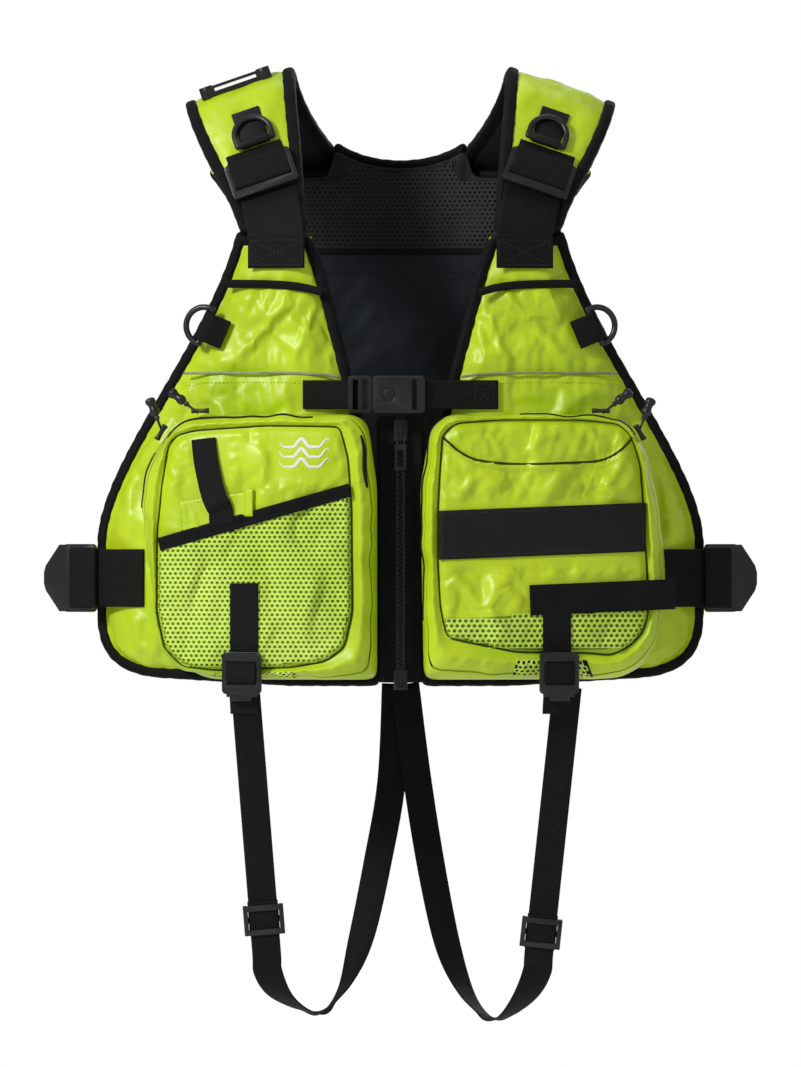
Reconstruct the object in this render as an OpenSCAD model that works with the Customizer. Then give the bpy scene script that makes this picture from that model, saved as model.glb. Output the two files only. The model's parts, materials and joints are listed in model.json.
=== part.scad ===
// Fishing life jacket (buoyancy vest) on the wearer's shoulders.
// Millimetres. +X is the wearer's left, -Y is the front, +Z is up.
// The origin lies midway between the shoulders, at the height of the shoulder rest.
// Every panel is a slab between two upright cylinders that share one axis, so layers
// that lie on each other share one curve and never cross.

/* [Vest] */
// Half of the vest's width across the front panels
vest_half_w = 260; // [230:1:320]
// Depth of the hem below the shoulder point
hem_depth = 512; // [490:1:620]
// Half of the vest's depth, front to back, at its middle
vest_half_depth = 115; // [105:1:140]
// Thickness of the buoyant panels
panel_t = 35; // [24:1:42]
// Gap left between front and back panels at the side
side_gap = 12; // [8:1:24]
// Thickness of the cover fabric with its seam allowance
cover_t = 2; // [1:0.5:3]
// Width of the edge binding
binding_w = 9; // [6:0.5:12]
// Thickness of the bound edge
binding_t = 16; // [10:1:20]

/* [Front panel] */
// Depth of the front panel's top edge
panel_top_depth = 125; // [118:1:135]
// Distance from the middle to the panel's inner top corner
panel_top_in = 77; // [72:1:82]
// Distance from the middle to the panel's outer top corner
panel_top_out = 139; // [136:1:150]
// Depth at which the armhole reaches the full width
armhole_depth = 389; // [360:1:420]
// Depth of the black cross piping
yoke_piping_depth = 168; // [162:1:176]

/* [Shoulder] */
// Radius of the shoulder arch over the top
arch_r = 48; // [42:1:52]
// Thickness of the shoulder pads
pad_t = 14; // [10:1:18]
// Slope of the shoulders in degrees
shoulder_slope = 19; // [14:1:22]
// Distance from the middle to the middle of a pad at its top
pad_mid_x = 140; // [136:1:146]

/* [Webbing] */
// Width of the wide webbing on shoulders and waist
wide_web = 50; // [38:1:50]
// Width of the narrow webbing on chest, pockets and legs
narrow_web = 25; // [20:1:25]
// Thickness of the webbing
web_t = 1.6; // [1.2:0.1:2]
// Depth of the waist belt's middle
waist_depth = 420; // [410:1:440]

/* [Chest buckle] */
// Length of the side-release buckle's socket
socket_len = 45; // [40:1:50]
// Height of the buckle
buckle_h = 32; // [30:1:36]
// Thickness of the buckle
buckle_t = 10; // [9:0.5:12]

/* [Zip] */
// Distance from the middle to a zip tape's outer edge
zip_half_w = 18; // [16:1:20]
// Pitch of the zip teeth
tooth_pitch = 4; // [3:0.5:5]

/* [Pockets] */
// Width of a chest pocket
pocket_w = 204; // [170:1:210]
// Height of a chest pocket
pocket_h = 228; // [190:1:234]
// Depth of a pocket, front to back, with its lid shut
pocket_d = 44; // [34:1:56]
// Depth of the lid, front to back
lid_d = 8; // [6:0.5:12]
// Wall of pockets and lids
pocket_wall = 3; // [2:0.5:4]

/* [Rings] */
// Inner width of the D-rings
ring_w = 28; // [26:1:32]
// Wire diameter of the D-rings
ring_wire = 4; // [3:0.5:5]

/* [Hidden] */

clear = 0.3;
arc_fn = 180;
$fn = 48;

// Shared curve of the layers: the cylinder axis lies behind the front panels.
edge_reach = vest_half_depth - side_gap / 2;
panel_r = (pow(vest_half_w, 2) + pow(edge_reach, 2) - pow(panel_t, 2))
        / (2 * (edge_reach - panel_t));
arc_y = panel_r - vest_half_depth;
inner_r = panel_r - panel_t;
skin_r = panel_r + clear;
web_r = skin_r + web_t;

function front_y(x, r) = arc_y - sqrt(r * r - x * x);
function turn_at(x, r) = asin(x / r);
function bezier(a, b, c, d, n = 10) = [for (i = [0:n]) let (t = i / n, s = 1 - t)
    s * s * s * a + 3 * s * s * t * b + 3 * s * t * t * c + t * t * t * d];
function arc(mid, r, from, to, n = 12) = [for (i = [0:n])
    mid + r * [cos(from + (to - from) * i / n), sin(from + (to - from) * i / n)]];

// Stations down the front.
pocket_low = -hem_depth + 5;
pocket_top = pocket_low + pocket_h;
chest_z = pocket_top + 17;
strap_top = -panel_top_depth;
waist_z = -waist_depth;

// ---------- building blocks ----------

// A slab of the front curve between two radii, cut to a front-view outline.
module front_slab(r_in, r_out) {
    intersection() {
        translate([0, arc_y, -hem_depth - 60]) difference() {
            cylinder(r = r_out, h = hem_depth + 120, $fn = arc_fn);
            translate([0, 0, -1]) cylinder(r = r_in, h = hem_depth + 122, $fn = arc_fn);
        }
        rotate([90, 0, 0]) linear_extrude(height = vest_half_depth + 90) children();
    }
}

module back_slab(r_in, r_out) {
    mirror([0, 1, 0]) front_slab(r_in, r_out) children();
}

module on_right() {
    mirror([1, 0, 0]) children();
}

// Puts a child on the front curve: its own X runs along the curve, -Y faces out.
module on_front(x, r, z) {
    translate([x, front_y(x, r), z]) rotate([0, 0, turn_at(x, r)]) children();
}

module rounded_rect(w, h, r) {
    offset(r = r) square([w - 2 * r, h - 2 * r], center = true);
}

module upright_plate(t) {
    rotate([90, 0, 0]) linear_extrude(height = t) children();
}

// A ladder lock seen from the front, its body up and its thumb tab down, with two web slots.
module ladder_lock(web_w, length, tab, t) {
    rail = 4.5;
    slot = 6;
    bar = (length - 2 * slot) / 3;
    w = web_w + 2 * rail;
    translate([0, 0, -length / 2]) difference() {
        upright_plate(t) union() {
            translate([0, length / 2]) rounded_rect(w, length, 4);
            translate([-w / 2 + 8, -tab]) square([w - 16, tab + 6]);
            translate([-w / 2 + 4, -tab * 0.4]) square([w - 8, tab * 0.4 + 6]);
        }
        for (i = [0, 1])
            translate([-web_w / 2 - 0.5, -t - 1, bar + i * (slot + bar)]) cube([web_w + 1, t + 2, slot]);
        for (i = [0:3])
            translate([-web_w / 2, -t - 0.4, length - bar + 1.2 + i * 1.8 - 1]) cube([web_w, 0.8, 0.8]);
    }
}

// A D-ring in its XZ plane: the bar lies along X at the origin, the bow goes up.
module d_ring(inner_w, wire, rise) {
    bow_r = (inner_w + wire) / 2;
    translate([-bow_r, 0, 0]) rotate([0, 90, 0]) cylinder(d = wire, h = 2 * bow_r);
    for (s = [-1, 1]) translate([s * bow_r, 0, 0]) {
        cylinder(d = wire, h = rise);
        sphere(d = wire);
    }
    translate([0, 0, rise]) rotate([90, 0, 0]) rotate_extrude(angle = 180)
        translate([bow_r, 0]) circle(d = wire);
}

// A webbing tab whose lower end wraps the bar of a D-ring at the origin.
module ring_tab(web_w, length) {
    hole_r = ring_wire / 2 + 0.4;
    wrap_r = hole_r + web_t;
    rotate([0, 90, 0]) difference() {
        translate([0, 0, -web_w / 2]) cylinder(r = wrap_r, h = web_w);
        translate([0, 0, -web_w / 2 - 1]) cylinder(r = hole_r, h = web_w + 2);
    }
    translate([-web_w / 2, wrap_r - web_t, 0]) cube([web_w, web_t, length]);
}

// ---------- outlines, seen from the front, wearer's left side ----------

arm_top = strap_top + 5.7;
armhole = bezier([panel_top_out, arm_top], [panel_top_out + 21, strap_top - 88],
                 [vest_half_w - 2, -armhole_depth + 71], [vest_half_w, -armhole_depth], 12);
corner = bezier([vest_half_w, -hem_depth + 60], [vest_half_w, -hem_depth + 18],
                [vest_half_w - 25, -hem_depth + 7], [vest_half_w - 60, -hem_depth + 6], 8);

module front_outline() {
    polygon(concat(
        [[zip_half_w + 1, -hem_depth], [zip_half_w + 1, pocket_top - 55],
         [zip_half_w + 12, pocket_top - 18], [zip_half_w + 25, chest_z + 16],
         [panel_top_in - 14, strap_top - 43], [panel_top_in - 6, strap_top - 14],
         [panel_top_in, strap_top], [panel_top_out - 4, strap_top]],
        armhole, corner, [[vest_half_w - 165, -hem_depth]]));
}

neck_drop = 53;
yoke_low = -133;
back_top = -62;
back_armhole = bezier([pad_mid_x + 28, back_top], [pad_mid_x + 12, back_top - 24],
                      [panel_top_out, back_top - 34], [panel_top_out, arm_top], 8);
yoke_half_w = 58;
neckline = bezier([0, -neck_drop], [22, -neck_drop], [44, -neck_drop + 6],
                  [yoke_half_w - clear, -neck_drop + 17], 8);

module half_back_outline() {
    polygon(concat([[-0.1, -hem_depth], [-0.1, -neck_drop]], neckline,
        [[yoke_half_w - clear, back_top]], back_armhole, armhole, corner,
        [[vest_half_w - 165, -hem_depth]]));
}

module back_outline() {
    half_back_outline();
    mirror([1, 0]) half_back_outline();
}

neck_edge_front = bezier([97, 45], [93, 0], [86, -60], [83, strap_top + 6], 6);
neck_edge_back = bezier([97, 45], [95, 8], [74, -24], [yoke_half_w, -40], 8);
pad_arm_edge = bezier([panel_top_out, strap_top + 6], [panel_top_out + 6, -88],
                      [pad_mid_x + 36, -50], [pad_mid_x + 47, -7]);

// Front-view outline of one shoulder pad; its back half widens towards the yoke.
module pad_outline(neck_edge, inset) {
    low = [neck_edge[len(neck_edge) - 1][0], strap_top + 6];
    polygon([for (p = concat([[97, 60]], neck_edge, [low])) p + [inset, 0],
             for (p = concat(pad_arm_edge, [[pad_mid_x + 62, 60]])) p - [inset, 0]]);
}

pocket_in = zip_half_w + 2;
pocket_out = pocket_in + pocket_w;

module pocket_outline() {
    offset(r = 14) offset(delta = -14) polygon([
        [pocket_in, pocket_low], [pocket_in, pocket_top - 62], [pocket_in + 8, pocket_top - 6],
        [pocket_in + 20, pocket_top], [pocket_out - 52, pocket_top], [pocket_out - 26, pocket_top - 12],
        [pocket_out - 4, pocket_top - 48], [pocket_out, pocket_top - 84],
        [pocket_out - 4, pocket_low + 64], [pocket_out - 18, pocket_low + 22],
        [pocket_out - 36, pocket_low + 2], [pocket_out - 60, pocket_low]]);
}

// ---------- back panel ----------

module back_cover() {
    color([0.72, 0.85, 0.2]) difference() {
        back_slab(inner_r, panel_r) offset(delta = -binding_w - 0.05) back_outline();
        back_slab(inner_r + cover_t, panel_r - cover_t) offset(delta = -binding_w - cover_t) back_outline();
    }
}

module back_foam() {
    color("whitesmoke")
    back_slab(inner_r + cover_t + clear, panel_r - cover_t - clear)
        offset(delta = -binding_w - cover_t - clear) back_outline();
}

module back_lining() {
    color([0.11, 0.13, 0.17]) back_slab(inner_r - 2.5, inner_r - 0.1) intersection() {
        offset(delta = -binding_w - 1) back_outline();
        translate([-vest_half_w, -hem_depth]) square([2 * vest_half_w, hem_depth + yoke_low]);
    }
}

module back_mesh() {
    color([0.1, 0.1, 0.1]) back_slab(inner_r - 2.5, inner_r - 0.1) intersection() {
        offset(delta = -binding_w - 1) back_outline();
        translate([-vest_half_w, yoke_low + 0.3]) square([2 * vest_half_w, 200]);
    }
}

module back_binding() {
    mid_r = inner_r + panel_t / 2;
    color([0.1, 0.1, 0.1])
    back_slab(mid_r - binding_t / 2, mid_r + binding_t / 2) difference() {
        back_outline();
        offset(delta = -binding_w) back_outline();
    }
}

// ---------- shoulder pads ----------

arch_mid = [0, -arch_r + 10];
front_foot = [-98, -125];
back_foot = [98, -64];

// Outer normal angle of the straight leg that runs from a foot to the arch.
function leg_angle(foot, side) =
    let (v = foot - arch_mid, d = norm(v))
    atan2(v[1], v[0]) - side * acos(arch_r / d) + (side > 0 ? 360 : 0);
front_a = leg_angle(front_foot, 1);
back_a = leg_angle(back_foot, -1);
front_lean = front_a < 360 ? 180 - front_a : 540 - front_a;

function unit(a) = [cos(a), sin(a)];
function leg_end(foot, a, side, extra) = foot - extra * side * [-sin(a), cos(a)];

// Band of the arch between two distances from its outer face, as a side-view polygon.
module arch_band(near, far) {
    front_end = leg_end(front_foot, front_a, -1, 45);
    back_end = leg_end(back_foot, back_a, 1, 60);
    polygon(concat(
        [front_end - near * unit(front_a)],
        arc(arch_mid, arch_r - near, front_a > 360 ? front_a - 360 : front_a, back_a, 24),
        [back_end - near * unit(back_a), back_end - far * unit(back_a)],
        arc(arch_mid, arch_r - far, back_a, front_a > 360 ? front_a - 360 : front_a, 24),
        [front_end - far * unit(front_a)]));
}

// Frame of the wearer's left pad: X along the sloping shoulder.
module pad_frame() {
    translate([pad_mid_x, 0, 0]) rotate([0, shoulder_slope, 0]) children();
}

// Layer of the pad between two depths below its outer face, cut to a front and a back outline.
module pad_layer(near, far) {
    intersection() {
        pad_frame() rotate([90, 0, 90]) translate([0, 0, -90]) linear_extrude(height = 180)
            arch_band(near, far);
        union() {
            upright_plate(200) children(0);
            translate([0, 200, 0]) upright_plate(200) intersection() {
                children(1);
                translate([0, back_top + 1.3]) square([300, 300]);
            }
        }
    }
}

module shoulder_pad_l() {
    color([0.72, 0.85, 0.2]) pad_layer(0, pad_t) {
        pad_outline(neck_edge_front, binding_w);
        pad_outline(neck_edge_back, binding_w);
    }
}

module shoulder_pad_r() {
    on_right() shoulder_pad_l();
}

module shoulder_bindings() {
    color([0.1, 0.1, 0.1]) for (m = [0, 1]) mirror([m, 0, 0])
        pad_layer(3, pad_t - 3) {
            difference() {
                pad_outline(neck_edge_front, 0);
                pad_outline(neck_edge_front, binding_w - 0.05);
            }
            difference() {
                pad_outline(neck_edge_back, 0);
                pad_outline(neck_edge_back, binding_w - 0.05);
            }
        }
}

// Puts a child on the front leg of the left pad: -Y faces out, Z runs up the leg.
module on_pad(u, w) {
    y_face = front_foot[0] + (w - front_foot[1]) * tan(front_lean);
    pad_frame() translate([u, y_face, w]) rotate([-front_lean, 0, 0]) children();
}

lock_u = 4;
lock_w = -76;
ring_u = 0;
ring_base_w = -46;
lock_len = 34;
lock_t = 5;

module shoulder_tabs() {
    lift = ring_wire / 2 + 0.4 + web_t + clear;
    color([0.12, 0.12, 0.12]) for (m = [0, 1]) mirror([m, 0, 0])
        on_pad(ring_u, ring_base_w) translate([0, -lift, 0]) ring_tab(narrow_web, 34);
}

module shoulder_ring_l() {
    lift = ring_wire / 2 + 0.4 + web_t + clear;
    color([0.08, 0.08, 0.08]) on_pad(ring_u, ring_base_w) translate([0, -lift, 0])
        d_ring(ring_w, ring_wire, 8);
}

module shoulder_ring_r() {
    on_right() shoulder_ring_l();
}

// Low plastic loop sewn over the top of the wearer's right pad.
module accessory_loop() {
    loop_w = 64;
    color([0.1, 0.1, 0.1]) on_right() pad_frame() difference() {
        translate([0, -14, arch_mid[1] + arch_r - 5]) difference() {
            union() {
                translate([-loop_w / 2, -5, 0]) cube([loop_w, 10, 10.6]);
                for (s = [-1, 1]) translate([s * (loop_w / 2 - 6), 0, 0]) cylinder(d = 12, h = 11.6);
            }
            translate([-loop_w / 2 + 13, -6, 5.4]) cube([loop_w - 26, 12, 3]);
        }
        translate([-loop_w, 0, arch_mid[1]]) rotate([0, 90, 0])
            cylinder(r = arch_r + 0.05, h = 2 * loop_w, $fn = arc_fn);
    }
}

module shoulder_lock_l() {
    color([0.09, 0.09, 0.09]) on_pad(lock_u, lock_w) translate([0, -web_t - 2.2, 0])
        ladder_lock(wide_web, lock_len, 0.1, lock_t);
}

module shoulder_lock_r() {
    on_right() shoulder_lock_l();
}

// Anchor web on the pad, free run below the lock, and the end sewn to the front panel.
module shoulder_web() {
    mid_x = (panel_top_in + panel_top_out) / 2;
    sewn_low = strap_top - 28;
    color([0.13, 0.13, 0.13]) {
        on_pad(lock_u, lock_w) translate([-wide_web / 2, -web_t - 0.1, -8]) cube([wide_web, web_t, 30]);
        front_slab(skin_r, web_r) translate([mid_x - wide_web / 2, sewn_low])
            square([wide_web, strap_top - sewn_low + 0.02]);
        hull() {
            on_front(mid_x, web_r, strap_top)
                translate([-wide_web / 2 + 0.2, -0.6, 0]) cube([wide_web - 0.4, web_t, 0.02]);
            on_pad(lock_u, lock_w) translate([-wide_web / 2 + 0.2, -web_t - 0.2, -14])
                cube([wide_web - 0.4, web_t, 0.5]);
        }
    }
}

module shoulder_webs() {
    shoulder_web();
    on_right() shoulder_web();
}

// ---------- front panels ----------

module front_cover_l() {
    color([0.72, 0.85, 0.2]) difference() {
        front_slab(inner_r, panel_r) offset(delta = -binding_w - 0.05) front_outline();
        front_slab(inner_r + cover_t, panel_r - cover_t) offset(delta = -binding_w - cover_t) front_outline();
    }
}

module front_cover_r() {
    on_right() front_cover_l();
}

module front_foams() {
    color("whitesmoke") for (m = [0, 1]) mirror([m, 0, 0])
        front_slab(inner_r + cover_t + clear, panel_r - cover_t - clear)
            offset(delta = -binding_w - cover_t - clear) front_outline();
}

// A strip across both front panels at one height.
module cross_strip(z, w, t) {
    for (m = [0, 1]) mirror([m, 0, 0]) front_slab(skin_r, skin_r + t) intersection() {
        offset(delta = -binding_w - 0.3) front_outline();
        translate([0, z - w / 2]) square([vest_half_w, w]);
    }
}

// Edge bindings of both panels and the black piping across each.
module front_bindings() {
    mid_r = inner_r + panel_t / 2;
    color([0.1, 0.1, 0.1]) {
        for (m = [0, 1]) mirror([m, 0, 0])
            front_slab(mid_r - binding_t / 2, mid_r + binding_t / 2) difference() {
                front_outline();
                offset(delta = -binding_w) front_outline();
            }
        cross_strip(-yoke_piping_depth, 6, 3);
    }
}

module piping_reflective() {
    color([0.6, 0.63, 0.56]) cross_strip(chest_z + 17, 3, 2);
}

// ---------- front zip ----------

tape_r = panel_r - 12;
tape_t = 1.2;
teeth_r = tape_r + 0.6;
zip_y = -(tape_r - arc_y) - tape_t / 2;
zip_top = chest_z - buckle_h / 2 - 6;
zip_low = -hem_depth + 14;
rail_in = 0.7;
slider_len = 18;

module zip_tapes() {
    color([0.1, 0.1, 0.1]) for (m = [0, 1]) mirror([m, 0, 0])
        translate([rail_in + 3.4, zip_y - tape_t / 2, zip_low - 10])
            cube([zip_half_w - rail_in - 3.4, tape_t, zip_top - zip_low + 14]);
}

module zip_teeth() {
    count = floor((zip_top - slider_len - 3 - zip_low) / tooth_pitch);
    color([0.07, 0.07, 0.07]) for (s = [0, 1]) mirror([s, 0, 0]) {
        translate([rail_in + 1.8, zip_y - 1.2, zip_low]) cube([1.5, 2.4, count * tooth_pitch]);
        for (i = [0:count - 1])
            translate([rail_in, zip_y - 2, zip_low + (i + 0.25 + s / 2) * tooth_pitch - 0.8])
                cube([3, 4, 1.6]);
    }
}

module zip_box() {
    color([0.07, 0.07, 0.07]) translate([0, zip_y - 3, zip_low - 18]) difference() {
        translate([-6, 0, 0]) cube([12, 6, 17.5]);
        translate([-2, -1, 3]) cube([4, 2, 8]);
        for (s = [0, 1]) mirror([s, 0, 0]) translate([rail_in + 3.2, 2.3, 7.8]) cube([3, 1.4, 11]);
    }
}

// Two plates joined by a thin web that runs in the gap between the rows of teeth.
module zip_slider() {
    plate = 1.6;
    half_gap = 2.6;
    body_w = 12;
    color([0.07, 0.07, 0.07]) translate([0, zip_y, zip_top - slider_len]) {
        for (y = [-half_gap - plate, half_gap]) translate([-body_w / 2, y, 0])
            cube([body_w, plate, slider_len]);
        translate([-0.4, -half_gap - 0.1, slider_len - 9]) cube([0.8, 2 * half_gap + 0.2, 9]);
        translate([-1.5, -half_gap - plate - 3.8, 5]) difference() {
            cube([3, 3.9, 9]);
            translate([-1, 1.1, 2.5]) cube([5, 3.7, 4]);
        }
    }
}

pull_y = zip_y - 2.6 - 1.6 - 1.3;
pull_z = zip_top - slider_len + 9.3;

module zip_pull() {
    color([0.07, 0.07, 0.07]) translate([0, pull_y, pull_z]) {
        rotate([0, 90, 0]) translate([0, 0, -3]) cylinder(d = 1.6, h = 6);
        for (s = [-1, 1]) translate([s * 3 - 0.8, -0.8, -12]) cube([1.6, 1.6, 12.8]);
        translate([-5, -0.8, -34]) difference() {
            cube([10, 1.6, 22.2]);
            translate([2.5, -1, 3]) cube([5, 4, 14]);
        }
    }
}

// ---------- chest buckle ----------

buckle_y = -vest_half_depth - 2 - buckle_t / 2;
socket_left = -24;
socket_right = socket_left + socket_len;
plug_len = 21;
tongue_len = 28;
prong_h = 5;
cavity_h = buckle_h - 8;
cavity_t = buckle_t - 4;

// Web from a buckle edge to the panel, then sewn along the panel; wearer's left side.
module chest_strap(x_buckle, x_sewn, x_end) {
    hull() {
        translate([x_buckle, buckle_y - web_t / 2, chest_z - narrow_web / 2])
            cube([0.5, web_t, narrow_web]);
        on_front(x_sewn, web_r, chest_z) translate([0, 0, -narrow_web / 2])
            cube([0.5, web_t, narrow_web]);
    }
    front_slab(skin_r, web_r) translate([x_sewn, chest_z - narrow_web / 2])
        square([x_end - x_sewn, narrow_web]);
}

module chest_web_l() {
    color([0.12, 0.12, 0.12]) chest_strap(socket_right + 0.2, 52, 82);
}

module chest_web_r() {
    color([0.12, 0.12, 0.12]) on_right() chest_strap(-socket_left + plug_len + 0.2, 60, 82);
}

// Flat housing with a mouth on the wearer's right and squeeze windows above and below.
module chest_socket() {
    window = 15;
    color([0.1, 0.1, 0.1]) difference() {
        translate([0, buckle_y + buckle_t / 2, chest_z]) upright_plate(buckle_t)
            translate([(socket_left + socket_right) / 2, 0]) rounded_rect(socket_len, buckle_h, 4);
        translate([socket_left - 1, buckle_y - cavity_t / 2, chest_z - cavity_h / 2])
            cube([tongue_len + 5, cavity_t, cavity_h]);
        for (z = [-1, 1] * buckle_h / 2)
            translate([socket_left + 9, buckle_y - cavity_t / 2, chest_z + z - 6])
                cube([window, cavity_t, 12]);
        translate([socket_right - 11, buckle_y - buckle_t / 2 - 1, chest_z - narrow_web / 2 - 0.5])
            cube([4, buckle_t + 2, narrow_web + 1]);
        translate([socket_left + 14, buckle_y - buckle_t / 2 + 0.8, chest_z])
            rotate([90, 0, 0]) difference() {
                cylinder(d = 12, h = 2);
                translate([0, 0, -1]) cylinder(d = 9.6, h = 4);
            }
    }
}

module chest_plug() {
    color([0.1, 0.1, 0.1]) {
        difference() {
            translate([0, buckle_y + buckle_t / 2, chest_z]) upright_plate(buckle_t)
                translate([socket_left - clear - plug_len / 2, 0])
                    rounded_rect(plug_len - 2 * clear, buckle_h, 3);
            for (x = [9, 17])
                translate([socket_left - x, buckle_y - buckle_t / 2 - 1, chest_z - narrow_web / 2 - 0.5])
                    cube([4.5, buckle_t + 2, narrow_web + 1]);
        }
        translate([socket_left - 2, buckle_y - 1.5, chest_z - 3]) cube([tongue_len - 2, 3, 6]);
    }
}

prong_root_x = socket_left - 0.2;

// One springy side arm: rooted at the plug's shoulder, thumb pad behind the window.
module prong(side) {
    inner = cavity_h / 2 - 0.6;
    color([0.14, 0.14, 0.14]) translate([0, buckle_y + cavity_t / 2 - 0.6, chest_z])
        upright_plate(cavity_t - 1.2) scale([1, side]) polygon([
            [prong_root_x, inner - 3], [prong_root_x, inner], [prong_root_x + 8, inner],
            [prong_root_x + 23, inner], [prong_root_x + tongue_len, inner - 2.6],
            [prong_root_x + tongue_len, inner - 4.6], [prong_root_x + 9, inner - 3.4]]);
}

module prong_upper() {
    prong(1);
}

module prong_lower() {
    prong(-1);
}

// ---------- pockets ----------

shell_r = panel_r + clear;
shell_face = panel_r + pocket_d - lid_d;
lid_in = shell_face + 0.4;
lid_r = panel_r + pocket_d;
trim_r = lid_r + 0.2;

module pocket_shell_l() {
    color([0.66, 0.8, 0.15]) difference() {
        front_slab(shell_r, shell_face) pocket_outline();
        front_slab(shell_r + pocket_wall, shell_face + 1) offset(delta = -pocket_wall) pocket_outline();
    }
}

module pocket_shell_r() {
    on_right() pocket_shell_l();
}

module pocket_lid_l() {
    color([0.74, 0.87, 0.22]) difference() {
        front_slab(lid_in, lid_r) pocket_outline();
        front_slab(lid_in - 1, lid_r - pocket_wall) offset(delta = -pocket_wall) pocket_outline();
    }
}

module pocket_lid_r() {
    on_right() pocket_lid_l();
}

// A flat trim on the lid's face, as a front-view outline on the wearer's left side.
module lid_trim(t) {
    front_slab(trim_r, trim_r + t) children();
}

face_in = pocket_in + 28;
face_out = pocket_out - 14;
band_low = pocket_low + 110;
band_rise = 46;
band_w = 11;

// Slanted line across the wearer's right lid, rising towards the zip.
function slant(x) = band_low + band_rise * (face_out - x) / (face_out - face_in);

module pocket_mesh_r() {
    color([0.78, 0.9, 0.35]) on_right() lid_trim(1.4) offset(r = 12) offset(delta = -12) polygon([
        [face_in, slant(face_in) - 0.3], [face_out, slant(face_out) - 0.3],
        [face_out, pocket_low + 40], [face_out - 20, pocket_low + 14],
        [face_in + 22, pocket_low + 14], [face_in, pocket_low + 34]]);
}

module pocket_band() {
    color([0.1, 0.1, 0.1]) on_right() lid_trim(1.8) polygon([
        [face_in, slant(face_in)], [face_in, slant(face_in) + band_w],
        [face_out, slant(face_out) + band_w], [face_out, slant(face_out)]]);
}

module key_strap() {
    strap_x = pocket_out - 40;
    color([0.12, 0.12, 0.12]) on_right() lid_trim(web_t) polygon([
        [strap_x - 18, slant(strap_x - 18) + band_w + clear],
        [strap_x + 6, slant(strap_x + 6) + band_w + clear],
        [strap_x + 12, pocket_top - 24], [strap_x - 10, pocket_top - 24]]);
}

module pocket_mesh_l() {
    color([0.78, 0.9, 0.35]) lid_trim(1.4) difference() {
        translate([face_in, pocket_low + 30]) square([face_out - face_in, 22]);
        translate([lock_x - narrow_web / 2 - 1, pocket_low]) square([narrow_web + 2, 90]);
    }
}

module pocket_patch() {
    color([0.1, 0.1, 0.1]) lid_trim(2)
        translate([face_in - 14, pocket_low + 98]) square([face_out - face_in + 14, 48]);
}

lock_x = 134;
lock_mid_z = pocket_low + 6;
pocket_lock_len = 36;

module cross_web() {
    color([0.12, 0.12, 0.12]) lid_trim(web_t) translate([lock_x + narrow_web / 2 + 0.3, pocket_low + 56])
        square([pocket_out - lock_x - narrow_web / 2 - 4, narrow_web]);
}

// Compression web of a lid; it runs down behind its ladder lock.
module pocket_web(high) {
    color([0.12, 0.12, 0.12]) on_front(lock_x, trim_r, 0)
        translate([-narrow_web / 2, -web_t - 1.5, pocket_low - 30]) cube([narrow_web, web_t, high + 30]);
}

module pocket_web_l() {
    pocket_web(80);
}

module pocket_web_r() {
    on_right() pocket_web(66);
}

module pocket_lock_l() {
    color([0.09, 0.09, 0.09]) on_front(lock_x, trim_r, lock_mid_z) translate([0, -2 * web_t - 2.4, 0])
        ladder_lock(narrow_web, pocket_lock_len, 6, 5);
}

module pocket_lock_r() {
    on_right() pocket_lock_l();
}

// Pocket zip slider with a cord pull that ends in a moulded toggle.
module zip_tag(x, z, track_turn, cord_lean) {
    color([0.08, 0.08, 0.08]) on_front(x, shell_face, z) {
        rotate([0, track_turn, 0]) translate([-7, -4, 0.5]) cube([14, 8, 5]);
        rotate([0, cord_lean, 0]) {
            translate([0, 0, 2]) cylinder(d = 3, h = 16);
            translate([0, 0, 17]) cylinder(d1 = 6, d2 = 10, h = 17);
        }
    }
}

tag_top_x = pocket_out - 52;
tag_side_x = pocket_out - 20.5;
tag_side_z = pocket_top - 17;
corner_turn = atan2(36 * cos(turn_at(tag_side_x, shell_face)), 22);

module zip_tag_l_top() {
    zip_tag(tag_top_x, pocket_top, 0, 54);
}

module zip_tag_r_top() {
    on_right() zip_tag_l_top();
}

module zip_tag_l_side() {
    zip_tag(tag_side_x, tag_side_z, corner_turn, 24);
}

module zip_tag_r_side() {
    on_right() zip_tag_l_side();
}

// ---------- side rings ----------

side_ring_x = 168;
side_ring_z = -203;
side_ring_tilt = -24;

module at_side_ring() {
    lift = ring_wire / 2 + 0.4 + web_t + clear;
    on_front(side_ring_x, panel_r + lift, side_ring_z) rotate([0, side_ring_tilt, 0])
        rotate([0, 90, 0]) children();
}

module side_tabs() {
    color([0.12, 0.12, 0.12]) for (m = [0, 1]) mirror([m, 0, 0])
        at_side_ring() rotate([0, 180, 0]) ring_tab(narrow_web, 18);
}

module side_ring_l() {
    color([0.08, 0.08, 0.08]) at_side_ring() d_ring(ring_w, ring_wire, 2);
}

module side_ring_r() {
    on_right() side_ring_l();
}

// ---------- waist belt ----------

belt_r = web_r;
loop_r = 48;
loop_x = sqrt(pow(belt_r - loop_r, 2) - arc_y * arc_y);
meet_x = loop_x * belt_r / (belt_r - loop_r);
waist_lock_len = 32;

module waist_webs() {
    color([0.12, 0.12, 0.12]) for (m = [0, 1]) mirror([m, 0, 0])
        front_slab(skin_r, web_r) translate([pocket_out + 1, waist_z - wide_web / 2])
            square([meet_x - pocket_out - 4, wide_web]);
}

// Half of the tongue's outline: its height along the web's width, its reach away from the body.
tongue_half = [[wide_web / 2 + 4, 6], [wide_web / 2 + 4, -4], [wide_web / 2 - 5, -11], [11, -18], [5, -20]];

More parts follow.
